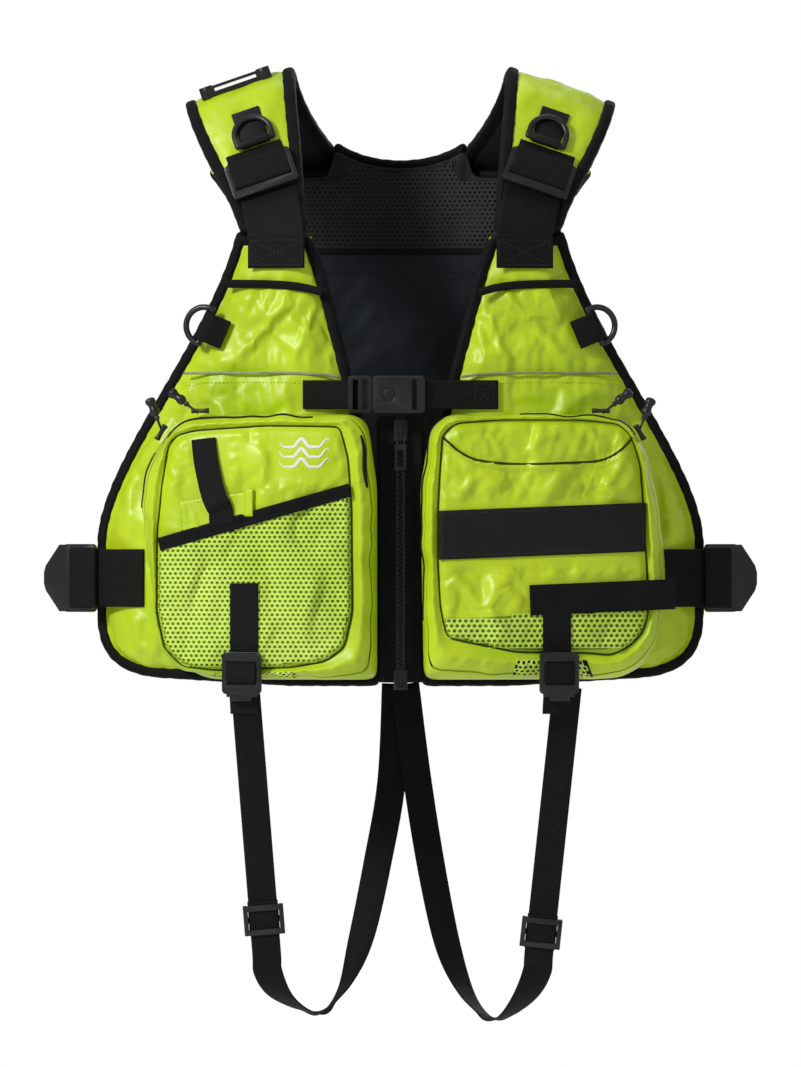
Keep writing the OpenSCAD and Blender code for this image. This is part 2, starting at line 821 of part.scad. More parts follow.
module waist_lock_l() {
    color([0.09, 0.09, 0.09]) on_front(meet_x, web_r + 0.5, waist_z) rotate([0, -90, 0])
        translate([0, 0, -4]) {
            ladder_lock(wide_web, waist_lock_len, 4, lock_t);
            translate([0, 0, -waist_lock_len / 2]) upright_plate(lock_t)
                polygon(concat(tongue_half, [for (i = [len(tongue_half) - 1:-1:0])
                    [-tongue_half[i][0], tongue_half[i][1]]]));
        }
}

module waist_lock_r() {
    on_right() waist_lock_l();
}

// One line of the belt seen from above: round the right side, across the back, round the left.
function belt_line(depth) = let (meet_a = atan2(arc_y, loop_x)) concat(
    arc([-loop_x, 0], loop_r - depth, 176 + meet_a, 180 - meet_a, 16),
    arc([0, -arc_y], web_r - depth, 179 - meet_a, meet_a + 1, 40),
    arc([loop_x, 0], loop_r - depth, meet_a, 4 - meet_a, 16));

module waist_belt() {
    inside = belt_line(web_t);
    color([0.12, 0.12, 0.12]) translate([0, 0, waist_z - wide_web / 2]) linear_extrude(height = wide_web)
        polygon(concat(belt_line(0), [for (i = [len(inside) - 1:-1:0]) inside[i]]));
}

// ---------- leg straps ----------

// Routes run from the front hem down, round the turn and up to the middle of the back hem.
// Each point is [x, y, z, twist]; twist turns the webbing's width about the vertical.
leg_l_route = [
    [144, -88, -514, 0], [136, -80, -590, 0], [128, -72, -666, 0], [120, -64, -742, 0],
    [118, -62, -761, 0], [108, -44, -783, 25], [92, -18, -801, 65], [76, 8, -803, 85],
    [58, 34, -785, 60], [42, 58, -745, 25], [28, 76, -680, 8], [15, 88, -600, 0], [4, 96, -514, 0]];
leg_r_route = [
    [-134, -90, -514, 0], [-128, -82, -590, 0], [-122, -74, -666, 0], [-116, -66, -742, 0],
    [-114.5, -64, -761, 0], [-104, -44, -782, -30], [-84, -18, -796, -70], [-66, 8, -797, -95],
    [-48, 36, -777, -70], [-34, 60, -735, -25], [-20, 78, -670, -8], [-8, 91, -600, 0],
    [-4, 101, -514, 0]];

function blend_at(p0, p1, p2, p3, t) = 0.5 * (2 * p1 + (p2 - p0) * t
    + (2 * p0 - 5 * p1 + 4 * p2 - p3) * t * t + (3 * p1 - p0 - 3 * p2 + p3) * t * t * t);
function spline(p, n = 5) = concat([for (i = [0:len(p) - 2], j = [0:n - 1])
    blend_at(p[max(i - 1, 0)], p[i], p[i + 1], p[min(i + 2, len(p) - 1)], j / n)], [p[len(p) - 1]]);

// A flat ribbon swept along a route, as one closed surface.
module ribbon(route) {
    path = spline(route);
    last = len(path) - 1;
    spot = [for (p = path) [p[0], p[1], p[2]]];
    rings = [for (i = [0:last])
        let (tangent = spot[min(i + 1, last)] - spot[max(i - 1, 0)],
             along = tangent / norm(tangent),
             raw = [cos(path[i][3]), sin(path[i][3]), 0],
             flat = raw - (raw * along) * along,
             side = flat / norm(flat) * narrow_web / 2,
             face = cross(along, side) / norm(cross(along, side)) * web_t / 2)
        [spot[i] - side - face, spot[i] + side - face, spot[i] + side + face, spot[i] - side + face]];
    polyhedron(
        points = [for (ring = rings, p = ring) p],
        faces = concat([[0, 1, 2, 3]],
            [for (i = [0:last - 1], k = [0:3])
                let (a = 4 * i + k, b = 4 * i + (k + 1) % 4) [a, a + 4, b]],
            [for (i = [0:last - 1], k = [0:3])
                let (a = 4 * i + k, b = 4 * i + (k + 1) % 4) [b, a + 4, b + 4]],
            [[4 * last + 3, 4 * last + 2, 4 * last + 1, 4 * last]]));
}

module leg_strap_l() {
    color([0.12, 0.12, 0.12]) ribbon(leg_l_route);
}

module leg_strap_r() {
    color([0.12, 0.12, 0.12]) ribbon(leg_r_route);
}

// Tri-glide: outer bars in front of the web, middle bar behind it.
module tri_glide() {
    rail = 4;
    height = 26;
    web_gap = web_t / 2 + 0.5;
    half_w = narrow_web / 2 + 1;
    for (s = [-1, 1]) translate([s * (half_w + rail / 2) - rail / 2, -3, -height / 2])
        cube([rail, 6, height]);
    for (z = [-height / 2, height / 2 - 5]) translate([-half_w - 1, -3, z])
        cube([2 * half_w + 2, 3 - web_gap, 5]);
    translate([-half_w - 1, web_gap, -2.5]) cube([2 * half_w + 2, 3 - web_gap, 5]);
}

// Puts a child on the straight front run of a route, a share of the way down each step.
module on_run(route, steps) {
    head = [route[0][0], route[0][1], route[0][2]];
    step = [route[1][0], route[1][1], route[1][2]] - head;
    translate(head + steps * step)
        rotate([asin(step[1] / norm(step)), atan2(-step[0], -step[2]), 0]) children();
}

slide_steps_l = 2.8;
slide_steps_r = 2.65;

module leg_slide_l() {
    color([0.09, 0.09, 0.09]) on_run(leg_l_route, slide_steps_l) tri_glide();
}

module leg_slide_r() {
    color([0.09, 0.09, 0.09]) on_run(leg_r_route, slide_steps_r) tri_glide();
}

back_cover();
back_foam();
back_lining();
back_mesh();
back_binding();
shoulder_pad_r();
shoulder_pad_l();
shoulder_bindings();
front_cover_r();
front_cover_l();
front_foams();
front_bindings();
piping_reflective();
zip_tapes();
zip_teeth();
zip_box();
zip_slider();
zip_pull();
shoulder_webs();
shoulder_lock_r();
shoulder_lock_l();
shoulder_tabs();
shoulder_ring_r();
shoulder_ring_l();
accessory_loop();
side_tabs();
side_ring_r();
side_ring_l();
chest_web_r();
chest_web_l();
chest_socket();
chest_plug();
prong_upper();
prong_lower();
pocket_shell_r();
pocket_shell_l();
pocket_lid_r();
pocket_lid_l();
pocket_mesh_r();
pocket_mesh_l();
pocket_band();
key_strap();
pocket_patch();
cross_web();
pocket_web_r();
pocket_web_l();
pocket_lock_r();
pocket_lock_l();
zip_tag_r_top();
zip_tag_r_side();
zip_tag_l_top();
zip_tag_l_side();
waist_webs();
waist_lock_r();
waist_lock_l();
waist_belt();
leg_strap_r();
leg_strap_l();
leg_slide_r();
leg_slide_l();
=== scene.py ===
"""Looks of the life jacket: cloth, webbing, mesh and moulded pieces round its solid parts.

Lengths in this file are millimetres until `build` turns them into metres.  The wearer's left
side is worked out with positive x, and `side=-1` mirrors it.
"""
import json

import bmesh
import bpy
import numpy as np
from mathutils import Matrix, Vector


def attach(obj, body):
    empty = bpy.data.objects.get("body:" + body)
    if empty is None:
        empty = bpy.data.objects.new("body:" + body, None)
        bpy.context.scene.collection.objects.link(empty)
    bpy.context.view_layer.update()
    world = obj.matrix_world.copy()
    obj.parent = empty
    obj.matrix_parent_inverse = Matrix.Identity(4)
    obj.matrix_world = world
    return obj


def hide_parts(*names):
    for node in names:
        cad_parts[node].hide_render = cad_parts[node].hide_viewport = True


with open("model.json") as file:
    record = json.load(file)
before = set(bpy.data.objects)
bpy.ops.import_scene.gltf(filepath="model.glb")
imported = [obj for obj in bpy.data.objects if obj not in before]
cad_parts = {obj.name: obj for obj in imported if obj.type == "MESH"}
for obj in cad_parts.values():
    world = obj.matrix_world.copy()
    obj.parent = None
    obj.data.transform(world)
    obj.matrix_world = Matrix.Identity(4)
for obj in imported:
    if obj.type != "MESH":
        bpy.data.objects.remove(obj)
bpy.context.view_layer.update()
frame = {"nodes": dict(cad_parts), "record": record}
BODY_OF = {n: b for b, ns in frame["record"]["behaviour"]["bodies"].items() for n in ns}

# ---------- sizes shared with the solid parts ----------
# Names ending in _R are radii about the vertical axis that the front panels curve round.  It stands
# ARC_Y behind the middle; the back panel curves round its mirror image.
PANEL_R, PANEL_THICK, HALF_DEPTH, POCKET_DEEP, LID_THICK = 528.757, 35.0, 115.0, 44.0, 8.0
INNER_R, ARC_Y = PANEL_R - PANEL_THICK, PANEL_R - HALF_DEPTH
MID_R = (PANEL_R + INNER_R) / 2
WEB_R = PANEL_R + 1.1
POCKET_BASE_R = PANEL_R + 0.4
LID_R = PANEL_R + POCKET_DEEP
SHELL_R, TRIM_R = LID_R - LID_THICK, LID_R + 0.2
CHEST_Z, WAIST_Z = -262.0, -420.0
BUCKLE_Y, ZIP_Y = -122.0, -103.6
LOCK_X, WAIST_LOCK_X = 134.0, 273.237
PAD_MID_X, PAD_SLOPE, FRONT_LEAN = 140.0, np.radians(19.0), np.radians(26.916)
ARCH_MID_Z, ARCH_R = -38.0, 48.0
BROAD_WEB, NARROW_WEB, WEB_THICK = 50.0, 25.0, 1.7

# ---------- camera ----------
lens = bpy.data.cameras.new("camera")
lens.lens, lens.sensor_width, lens.clip_end = 313.9, 36.0, 60.0
camera = bpy.data.objects.new("camera", lens)
camera.location = (0.0, -8.115, -0.3814)
camera.rotation_euler = (np.pi / 2, 0.0, 0.0)
bpy.context.scene.collection.objects.link(camera)
bpy.context.scene.camera = camera
bpy.context.scene.view_settings.view_transform = "Standard"


# ---------- shader nodes ----------
class Shader:
    """A material and a short way to add nodes to it."""

    def __init__(self, name, color, rough, **principled):
        self.material = bpy.data.materials.new(name)
        self.material.use_nodes = True
        self.tree = self.material.node_tree
        self.surface = self.tree.nodes["Principled BSDF"]
        self.surface.inputs["Base Color"].default_value = (*color, 1.0)
        self.surface.inputs["Roughness"].default_value = rough
        for socket, value in principled.items():
            self.surface.inputs[socket.replace("_", " ")].default_value = value
        self.bump = None

    def node(self, kind, settings=None, **sockets):
        """A node with its settings; a socket takes a number or another node's output."""
        made = self.tree.nodes.new("ShaderNode" + kind)
        for key, value in (settings or {}).items():
            setattr(made, key, value)
        for key, value in sockets.items():
            socket = made.inputs[int(key[1:]) if key[0] == "i" and key[1:].isdigit() else key.replace("_", " ")]
            if isinstance(value, bpy.types.NodeSocket):
                self.tree.links.new(value, socket)
            else:
                socket.default_value = value
        return made.outputs

    def place(self, uv=False, scale=(1, 1, 1), turn=(0, 0, 0)):
        """Object coordinates, or the piece's own UV map, scaled and turned."""
        source = self.node("TexCoord")["UV" if uv else "Object"]
        return self.node("Mapping", Vector=source, Scale=scale, Rotation=turn)["Vector"]

    def noise(self, scale, detail=3.0, uv=False, stretch=(1, 1, 1), turn=(0, 0, 0)):
        return self.node("TexNoise", Vector=self.place(uv, stretch, turn), Scale=scale, Detail=detail)["Fac"]

    def bands(self, pitch, axis, uv=False, distortion=0.0, turn=(0, 0, 0)):
        """Sine bands whose period is the pitch in metres."""
        return self.node("TexWave", {"wave_type": "BANDS", "bands_direction": axis},
                         Vector=self.place(uv, turn=turn), Scale=0.31416 / pitch, Distortion=distortion)["Fac"]

    def math(self, operation, a, b=0.5):
        return self.node("Math", {"operation": operation}, i0=a, i1=b)["Value"]

    def ramp(self, fac, stops):
        """A colour ramp through (place, colour) stops."""
        made = self.tree.nodes.new("ShaderNodeValToRGB")
        self.tree.links.new(fac, made.inputs["Fac"])
        while len(made.color_ramp.elements) < len(stops):
            made.color_ramp.elements.new(0.5)
        for element, (place, color) in zip(made.color_ramp.elements, stops):
            element.position, element.color = place, (*color, 1.0)
        return made.outputs["Color"]

    def color(self, socket):
        self.tree.links.new(socket, self.surface.inputs["Base Color"])

    def rough(self, fac, low, high):
        out = self.node("MapRange", Value=fac, **{"To_Min": low, "To_Max": high})["Result"]
        self.tree.links.new(out, self.surface.inputs["Roughness"])

    def raise_by(self, height, strength, distance):
        """Adds a layer of bump; distance is the relief in metres."""
        sockets = {"Height": height, "Strength": strength, "Distance": distance}
        if self.bump:
            sockets["Normal"] = self.bump
        self.bump = self.node("Bump", **sockets)["Normal"]
        self.tree.links.new(self.bump, self.surface.inputs["Normal"])


def mix(a, b, share):
    """The colour a given share of the way from a to b."""
    return tuple(a[i] + (b[i] - a[i]) * share for i in range(3))


def nylon(name, dark, light, rough=0.38, crinkle=1.0, weave=0.9e-3, shine=0.5):
    """Coated nylon: a fine plain weave, soft crinkles and slow changes of tone."""
    s = Shader(name, light, rough, Specular_IOR_Level=shine)
    tone = s.noise(14.0, 4.0)
    s.color(s.ramp(tone, [(0.32, dark), (0.52, mix(dark, light, 0.6)), (0.7, light)]))
    s.rough(s.noise(55.0, 3.0), rough - 0.07, rough + 0.1)
    s.raise_by(s.noise(11.0, 2.5, stretch=(1, 1, 0.6), turn=(0, 0.5, 0)), 0.55 * crinkle, 9e-3)
    s.raise_by(s.noise(38.0, 4.0), 0.45 * crinkle, 2.2e-3)
    s.raise_by(s.noise(160.0, 3.0, stretch=(1, 1, 0.6)), 0.25 * crinkle, 0.5e-3)
    weft = s.math("MULTIPLY", s.bands(weave, "X"), s.bands(weave, "Z"))
    s.raise_by(weft, 0.25, 0.12e-3)
    return s.material


def webbing(name, dark, light, rib=1.5e-3, cord=2.4e-3):
    """Woven webbing in its own UV map: cross ribs over long cords, with a patchy painted highlight on the crowns."""
    s = Shader(name, dark, 0.66, Specular_IOR_Level=0.16)
    ribs, cords = s.bands(rib, "Y", uv=True), s.bands(cord, "X", uv=True)
    crown = s.math("MULTIPLY", ribs, cords)
    # Painted highlight: the weave's raised crowns are lighter, patchily.
    crown_highlight = s.math("MULTIPLY", crown, s.noise(90.0, 3.0, uv=True))
    s.color(s.ramp(crown_highlight, [(0.05, dark), (0.6, light)]))
    s.raise_by(s.math("ADD", ribs, s.math("MULTIPLY", cords, 0.6)), 0.6, 0.35e-3)
    s.raise_by(s.noise(45.0, 3.0, uv=True), 0.2, 0.8e-3)
    return s.material


def moulded_plastic(name, color, rough=0.38):
    """Satin acetal: faint orange peel, dust-soft patches and a low coat of polish."""
    s = Shader(name, color, rough, Specular_IOR_Level=0.5)
    s.color(s.ramp(s.noise(30.0), [(0.35, color), (0.75, tuple(c * 1.7 + 0.002 for c in color))]))
    s.rough(s.noise(60.0, 4.0), rough - 0.08, rough + 0.12)
    s.raise_by(s.noise(900.0, 2.0), 0.25, 0.12e-3)
    return s.material


LIME_DARK, LIME_LIGHT = (0.42, 0.59, 0.006), (0.56, 0.73, 0.012)
LIME = nylon("lime_nylon", LIME_DARK, LIME_LIGHT)
LIME_MESH = nylon("lime_warp_knit", (0.54, 0.76, 0.06), (0.66, 0.86, 0.13), 0.6, 0.4)
# Dark green for the sheets just under the lime knits: painted shade, seen through the holes as shadow.
LIME_SHADE = nylon("lime_painted_shade", (0.10, 0.18, 0.002), (0.17, 0.28, 0.004), 0.7, 0.4)
NAVY = nylon("navy_lining", (0.0065, 0.009, 0.0145), (0.012, 0.016, 0.025), 0.6, 1.3, shine=0.25)
BLACK_CLOTH = nylon("black_cloth", (0.0035, 0.0035, 0.0038), (0.008, 0.008, 0.0085), 0.6, 0.6, shine=0.25)
BLACK_MESH = nylon("black_spacer_knit", (0.010, 0.010, 0.0105), (0.022, 0.022, 0.023), 0.6, 0.6, shine=0.3)
BLACK_WEB = webbing("black_webbing", (0.003, 0.003, 0.0032), (0.013, 0.013, 0.0135))
TAPE = webbing("grosgrain_tape", (0.003, 0.003, 0.0032), (0.009, 0.009, 0.0095), 1.1e-3, 9e-3)
PLASTIC = moulded_plastic("black_acetal", (0.006, 0.006, 0.0065), 0.34)
THREAD = nylon("lime_thread", (0.38, 0.60, 0.01), (0.52, 0.74, 0.03), 0.7, 0.0)
BLACK_THREAD = nylon("black_thread", (0.012, 0.012, 0.013), (0.028, 0.028, 0.029), 0.7, 0.0, shine=0.25)
WHITE_PRINT = nylon("white_print", (0.70, 0.72, 0.68), (0.85, 0.86, 0.82), 0.6, 0.2)
# Dark green for the pocket seam grooves and the slit: painted shade.
SEAM_SHADOW = nylon("seam_shadow", (0.018, 0.032, 0.001), (0.04, 0.065, 0.002), 0.8, 0.0, shine=0.1)


def reflective_tape():
    """Grey glass-bead tape: a fine beaded relief with a dull metal shine."""
    s = Shader("reflective_tape", (0.26, 0.29, 0.20), 0.5, Metallic=0.2, Specular_IOR_Level=0.5)
    s.color(s.ramp(s.noise(120.0), [(0.3, (0.19, 0.22, 0.14)), (0.7, (0.33, 0.36, 0.25))]))
    beads = s.node("TexVoronoi", Vector=s.place(), Scale=1400.0)["Distance"]
    s.raise_by(beads, 0.5, 0.2e-3)
    return s.material


REFLECTIVE = reflective_tape()


# ---------- shapes on grids ----------
def build(name, sheets, material, body, stands_for=(), levels=0, thick=0.0, merge=True):
    """One piece from sheets of points, each (points, uv, close_u, close_v) or plain points.

    A sheet is an array u by v by 3, or a batch of them; neighbours in u and v make its quads, and
    `close_` joins the last row to the first.  Points become metres, doubles are merged and normals set outwards.
    """
    corners, quads, maps, start = [], [], [], 0
    for sheet in sheets:
        points, uv, close_u, close_v = sheet if isinstance(sheet, tuple) else (sheet, None, False, False)
        nu, nv = points.shape[-3:-1]
        index = np.arange(nu * nv).reshape(nu, nv)
        if close_u:
            index = np.vstack([index, index[:1]])
        if close_v:
            index = np.hstack([index, index[:, :1]])
        cell = np.stack([index[:-1, :-1], index[1:, :-1], index[1:, 1:], index[:-1, 1:]], -1).reshape(-1, 4)
        copies = points.size // (3 * nu * nv)
        quads.append((cell[None] + np.arange(copies)[:, None, None] * nu * nv).reshape(-1, 4) + start)
        corners.append(points.reshape(-1, 3))
        maps.append((uv if uv is not None else points[..., [0, 2]]).reshape(-1, 2))
        start += copies * nu * nv
    corners, quads, maps = np.vstack(corners), np.vstack(quads), np.vstack(maps)
    mesh = bpy.data.meshes.new(name)
    mesh.from_pydata(corners * 0.001, [], quads)
    layer = mesh.uv_layers.new(name="weave")
    layer.data.foreach_set("uv", (maps[quads.ravel()] * 0.001).ravel())
    if merge:
        work = bmesh.new()
        work.from_mesh(mesh)
        bmesh.ops.remove_doubles(work, verts=work.verts, dist=2e-6)
        bmesh.ops.dissolve_degenerate(work, edges=work.edges, dist=1e-7)
        bmesh.ops.recalc_face_normals(work, faces=work.faces)
        work.to_mesh(mesh)
        work.free()
    mesh.shade_smooth()
    piece = bpy.data.objects.new(name, mesh)
    bpy.context.scene.collection.objects.link(piece)
    mesh.materials.append(material)
    if thick:
        wall = piece.modifiers.new("wall", "SOLIDIFY")
        wall.thickness, wall.offset = thick * 0.001, -1.0
    if levels:
        finer = piece.modifiers.new("finer", "SUBSURF")
        finer.levels = finer.render_levels = levels
    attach(piece, body)
    if stands_for:
        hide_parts(*stands_for)
    return piece


def strap(name, sheets, body="vest", stands_for=()):
    """A piece of black webbing."""
    return build(name, sheets, BLACK_WEB, body, stands_for)


def threads(name, rows, body="vest", lime=False):
    """Rows of stitching, in the colour of the cloth that they hold."""
    return build(name, rows, THREAD if lime else BLACK_THREAD, body,
                 merge=False)


def looped(line):
    """A line with its first point added at its end."""
    return np.vstack([line, line[:1]])


def border(grid):
    """The outermost points of a grid, once round."""
    return np.concatenate([grid[:, 0], grid[-1, 1:], grid[-2::-1, -1], grid[0, -2:0:-1]])


def bezier(a, b, c, d, n=16):
    """Points s^3 a + 3 s^2 t b + 3 s t^2 c + t^3 d with s = 1 - t."""
    t = np.linspace(0, 1, n)[:, None]
    s = 1 - t
    a, b, c, d = (np.array(p, float) for p in (a, b, c, d))
    return s**3 * a + 3 * s * s * t * b + 3 * s * t * t * c + t**3 * d


def resample(points, n, closed=False):
    """The same line with n points at equal steps along it."""
    p = np.asarray(points, float)
    if closed:
        p = np.vstack([p, p[:1]])
    run = np.concatenate([[0], np.cumsum(np.linalg.norm(np.diff(p, axis=0), axis=1))])
    at = np.linspace(0, run[-1], n + 1)[:-1] if closed else np.linspace(0, run[-1], n)
    return np.stack([np.interp(at, run, p[:, k]) for k in range(p.shape[1])], 1)


def soften(points, passes, closed=False):
    """Each pass moves every point half way to the middle of its neighbours."""
    p = np.array(points, float)
    for _ in range(passes):
        if closed:
            p = 0.5 * p + 0.25 * (np.roll(p, 1, 0) + np.roll(p, -1, 0))
        else:
            p[1:-1] = 0.5 * p[1:-1] + 0.25 * (p[:-2] + p[2:])
    return p


def coons(left, right, low, high):
    """Surface between four edges: the two ruled surfaces added, less the one through the corners."""
    u = np.linspace(0, 1, len(low))[:, None, None]
    v = np.linspace(0, 1, len(left))[None, :, None]
    ruled = (1 - v) * low[:, None] + v * high[:, None] + (1 - u) * left[None] + u * right[None]
    corner = ((1 - u) * (1 - v) * left[0] + (1 - u) * v * left[-1]
              + u * (1 - v) * right[0] + u * v * right[-1])
    return ruled - corner


def distance_to(points, line):
    """Least distance from each point to the segments of a line, both in the front view."""
    flat = points.reshape(-1, 1, 2)
    a, b = line[:-1][None], line[1:][None]
    ab = b - a
    t = np.clip(((flat - a) * ab).sum(-1) / np.maximum((ab * ab).sum(-1), 1e-9), 0, 1)
    return np.linalg.norm(flat - a - t[..., None] * ab, axis=-1).min(1).reshape(points.shape[:-1])


def on_curve(x, z, r, back=False):
    """Point of the panels' shared curve: y = arc_y - sqrt(r^2 - x^2), mirrored in y for the back."""
    x, z, r = np.broadcast_arrays(x, z, r)
    y = ARC_Y - np.sqrt(np.maximum(r * r - x * x, 1.0))
    return np.stack([x, -y if back else y, z], -1)


def outward(points, back=False):
    """Unit normal of the shared curve, pointing away from its axis."""
    centre_y = -ARC_Y if back else ARC_Y
    n = points - np.array([0.0, centre_y, 0.0])
    n[..., 2] = 0
    return n / np.linalg.norm(n, axis=-1, keepdims=True)


def unit(v):
    """Vectors scaled to length 1."""
    return v / np.maximum(np.linalg.norm(v, axis=-1, keepdims=True), 1e-9)


def ripple(x, seed, waves=(34, 21, 13, 8.5), period=None):
    """Irregular ripple of one coordinate: a sum of sines whose phases come from the seed.

    With a period, each wave is stretched a little so that a whole number of them fits in it.
    """
    draw = np.random.default_rng(seed)
    total = 0
    for wave in waves:
        length = wave * draw.uniform(0.85, 1.15)
        if period:
            length = period / max(round(period / length), 1)
        total = total + np.sin(2 * np.pi * x / length + draw.uniform(0, 6.28)) * wave**0.5
    return total / sum(w**0.5 for w in waves)


def folds(x, z, seed, size=60.0, count=9, lean=(0.0, np.pi)):
    """Two-way folds: plane waves of random heading within `lean`, warped by one another.

    The sum is then bent towards |sin|, which keeps the crowns round and makes the valleys crisp.
    """
    draw = np.random.default_rng(seed)
    total = np.zeros_like(x, float)
    for k in range(count):
        heading, wave = draw.uniform(*lean), size * draw.uniform(0.55, 1.4)
        phase = draw.uniform(0, 6.28) + 0.9 * total
        total += np.sin(2 * np.pi * (x * np.cos(heading) + z * np.sin(heading)) / wave + phase) / count**0.5
    return 0.65 * total + 1.1 * (np.abs(np.sin(1.2 * total + 0.6)) - 0.6)


def crease(points_x, points_z, start, end, width, depth, fade=0.35):
    """A ridge along a line from start to end: depth times a bell across it, fading to both ends."""
    a, b = np.array(start, float), np.array(end, float)
    along = b - a
    length = np.linalg.norm(along)
    along /= length
    dx, dz = points_x - a[0], points_z - a[1]
    t = (dx * along[0] + dz * along[1]) / length
    off = -dx * along[1] + dz * along[0]
    ends = np.clip(t / fade, 0, 1) * np.clip((1 - t) / fade, 0, 1)
    return depth * np.exp(-(off / width) ** 2) * np.sin(np.clip(ends, 0, 1) * np.pi / 2)


def rounded_section(width, height, power=2.6, n=16, ridge=0.0):
    """Closed section |x/a|^p + |y/b|^p = 1, with a slight ridge wave across the face."""
    a = np.linspace(0, 2 * np.pi, n, endpoint=False)
    c, s = np.cos(a), np.sin(a)
    x = np.sign(c) * np.abs(c) ** (2 / power) * width / 2
    y = np.sign(s) * np.abs(s) ** (2 / power) * height / 2
    return np.stack([x, y * (1 + ridge * np.cos(3 * a))], -1)


def carried(path, side, out, section, closed=False, ends=True):
    """A section carried along a path: point = path + side * section_x + out * section_y.

    The section may change along the path (n by k by 2).  Open ends close on their own middle.
    """
    section = np.broadcast_to(section, (len(path),) + section.shape[-2:])
    points = path[:, None] + side[:, None] * section[..., :1] + out[:, None] * section[..., 1:]
    run = np.concatenate([[0], np.cumsum(np.linalg.norm(np.diff(path, axis=0), axis=1))])
    uv = np.stack(np.broadcast_arrays(section[..., 0], run[:, None]), -1).copy()
    if ends and not closed:
        first, last = points[:1].mean(1, keepdims=True), points[-1:].mean(1, keepdims=True)
        k = points.shape[1]
        points = np.concatenate([np.repeat(first, k, 1), points, np.repeat(last, k, 1)])
        uv = np.concatenate([uv[:1], uv, uv[-1:]])
    return points, uv, closed, True


def mirrored(sheet, side):
    """The same sheet on the wearer's right side when side is -1."""
    scale = np.array([side, 1.0, 1.0])
    if isinstance(sheet, tuple):
        return (sheet[0] * scale,) + tuple(sheet[1:])
    return sheet * scale


def web(path, out, width=25.0, thick=1.6, closed=False):
    """Flat webbing along a path, its face towards `out`; thin rounded selvedges."""
    path = np.asarray(path, float)
    if closed:
        along = unit(np.roll(path, -1, 0) - np.roll(path, 1, 0))
    else:
        along = unit(np.gradient(path, axis=0))
    out = unit(out - (out * along).sum(-1, keepdims=True) * along)
    side = unit(np.cross(along, out))
    return carried(path, side, out, rounded_section(width, thick, 7.0, 20), closed)


def stitches(path, out, length=2.6, gap=1.3, thick=0.55, lift=0.0):
    """A row of short threads along a path: each is a small six-sided bead, pinched at its ends."""
    path = np.asarray(path, float)
    run = np.concatenate([[0], np.cumsum(np.linalg.norm(np.diff(path, axis=0), axis=1))])
    count = max(int(run[-1] / (length + gap)), 1)
    at = lambda s, p: np.stack([np.interp(s, run, p[:, k]) for k in range(3)], -1)
    start = np.arange(count) * (length + gap)
    shares = np.array([0.0, 0.12, 0.5, 0.88, 1.0])
    s = start[:, None] + shares[None] * length
    middle, face = at(s, path), unit(at(s, np.broadcast_to(out, path.shape)))
    along = unit(at(s + 0.05, path) - at(s - 0.05, path) + 1e-9)
    across = unit(np.cross(along, face))
    girth = np.array([0.02, 0.8, 1.0, 0.8, 0.02])[None, :, None, None] * thick
    a = np.linspace(0, 2 * np.pi, 6, endpoint=False)
    ring = (across[:, :, None] * np.cos(a)[:, None] + face[:, :, None] * np.sin(a)[:, None] * 0.6) * girth
    points = middle[:, :, None] + ring + face[:, :, None] * lift
    return [(points, None, False, True)]


def holed_cloth(low, high, pitch, hole, place, keep, wide=1.0):
    """Knitted mesh: staggered cells with a round hole in each, laid by place(x, z).

    Each cell is a ring of eight quads between its own border and a hole of the given share.
    Every second row shifts by half a cell, so the borders still meet.
    """
    rows = int((high[1] - low[1]) / (pitch * 0.87))
    columns = int((high[0] - low[0]) / (pitch * wide))
    i, j = np.meshgrid(np.arange(columns), np.arange(rows), indexing="ij")
    cx = low[0] + (i + 0.5 + 0.5 * (j % 2)) * pitch * wide
    cz = low[1] + (j + 0.5) * pitch * 0.87
    mask = keep(cx, cz)
    cx, cz = cx[mask], cz[mask]
    outer = np.array([(1, 0), (1, 1), (0, 1), (-1, 1), (-1, 0), (-1, -1), (0, -1), (1, -1)]) * 0.5
    a = np.arange(8) * np.pi / 4
    inner = np.stack([np.cos(a), np.sin(a)], 1) * hole * 0.5
    ring = np.stack([outer, outer * 0.35 + inner * 0.65 * 1.06, inner], 1) * [pitch * wide, pitch * 0.87]
    x = cx[:, None, None] + ring[None, ..., 0]
    z = cz[:, None, None] + ring[None, ..., 1]
    points = place(x, z, np.array([0.0, 0.35, 0.0])[None, None])
    return [(points, None, True, False)]


# ---------- leg straps: free webbing, laid along the route of the solid ones ----------
LEG_ROUTES = {
    "l": [[144, -88, -514, 0], [136, -80, -590, 0], [128, -72, -666, 0], [120, -64, -742, 0],
          [118, -62, -761, 0], [108, -44, -783, 25], [92, -18, -801, 65], [76, 8, -803, 85],
          [58, 34, -785, 60], [42, 58, -745, 25], [28, 76, -680, 8], [15, 88, -600, 0], [4, 96, -514, 0]],
    "r": [[-134, -90, -514, 0], [-128, -82, -590, 0], [-122, -74, -666, 0], [-116, -66, -742, 0],
          [-114.5, -64, -761, 0], [-104, -44, -782, -30], [-84, -18, -796, -70], [-66, 8, -797, -95],
          [-48, 36, -777, -70], [-34, 60, -735, -25], [-20, 78, -670, -8], [-8, 91, -600, 0],
          [-4, 101, -514, 0]],
}


def smooth_route(route, n):
    """Catmull-Rom line: each span is the cubic of t through its own ends and their neighbours."""
    p = np.array(route, float)
    i = np.repeat(np.arange(len(p) - 1), n)
    t = np.tile(np.arange(n) / n, len(p) - 1)[:, None]
    a, b, c, d = p[np.maximum(i - 1, 0)], p[i], p[i + 1], p[np.minimum(i + 2, len(p) - 1)]
    q = 0.5 * (2 * b + (c - a) * t + (2 * a - 5 * b + 4 * c - d) * t**2 + (3 * b - a - 3 * c + d) * t**3)
    return np.vstack([q, p[-1]])


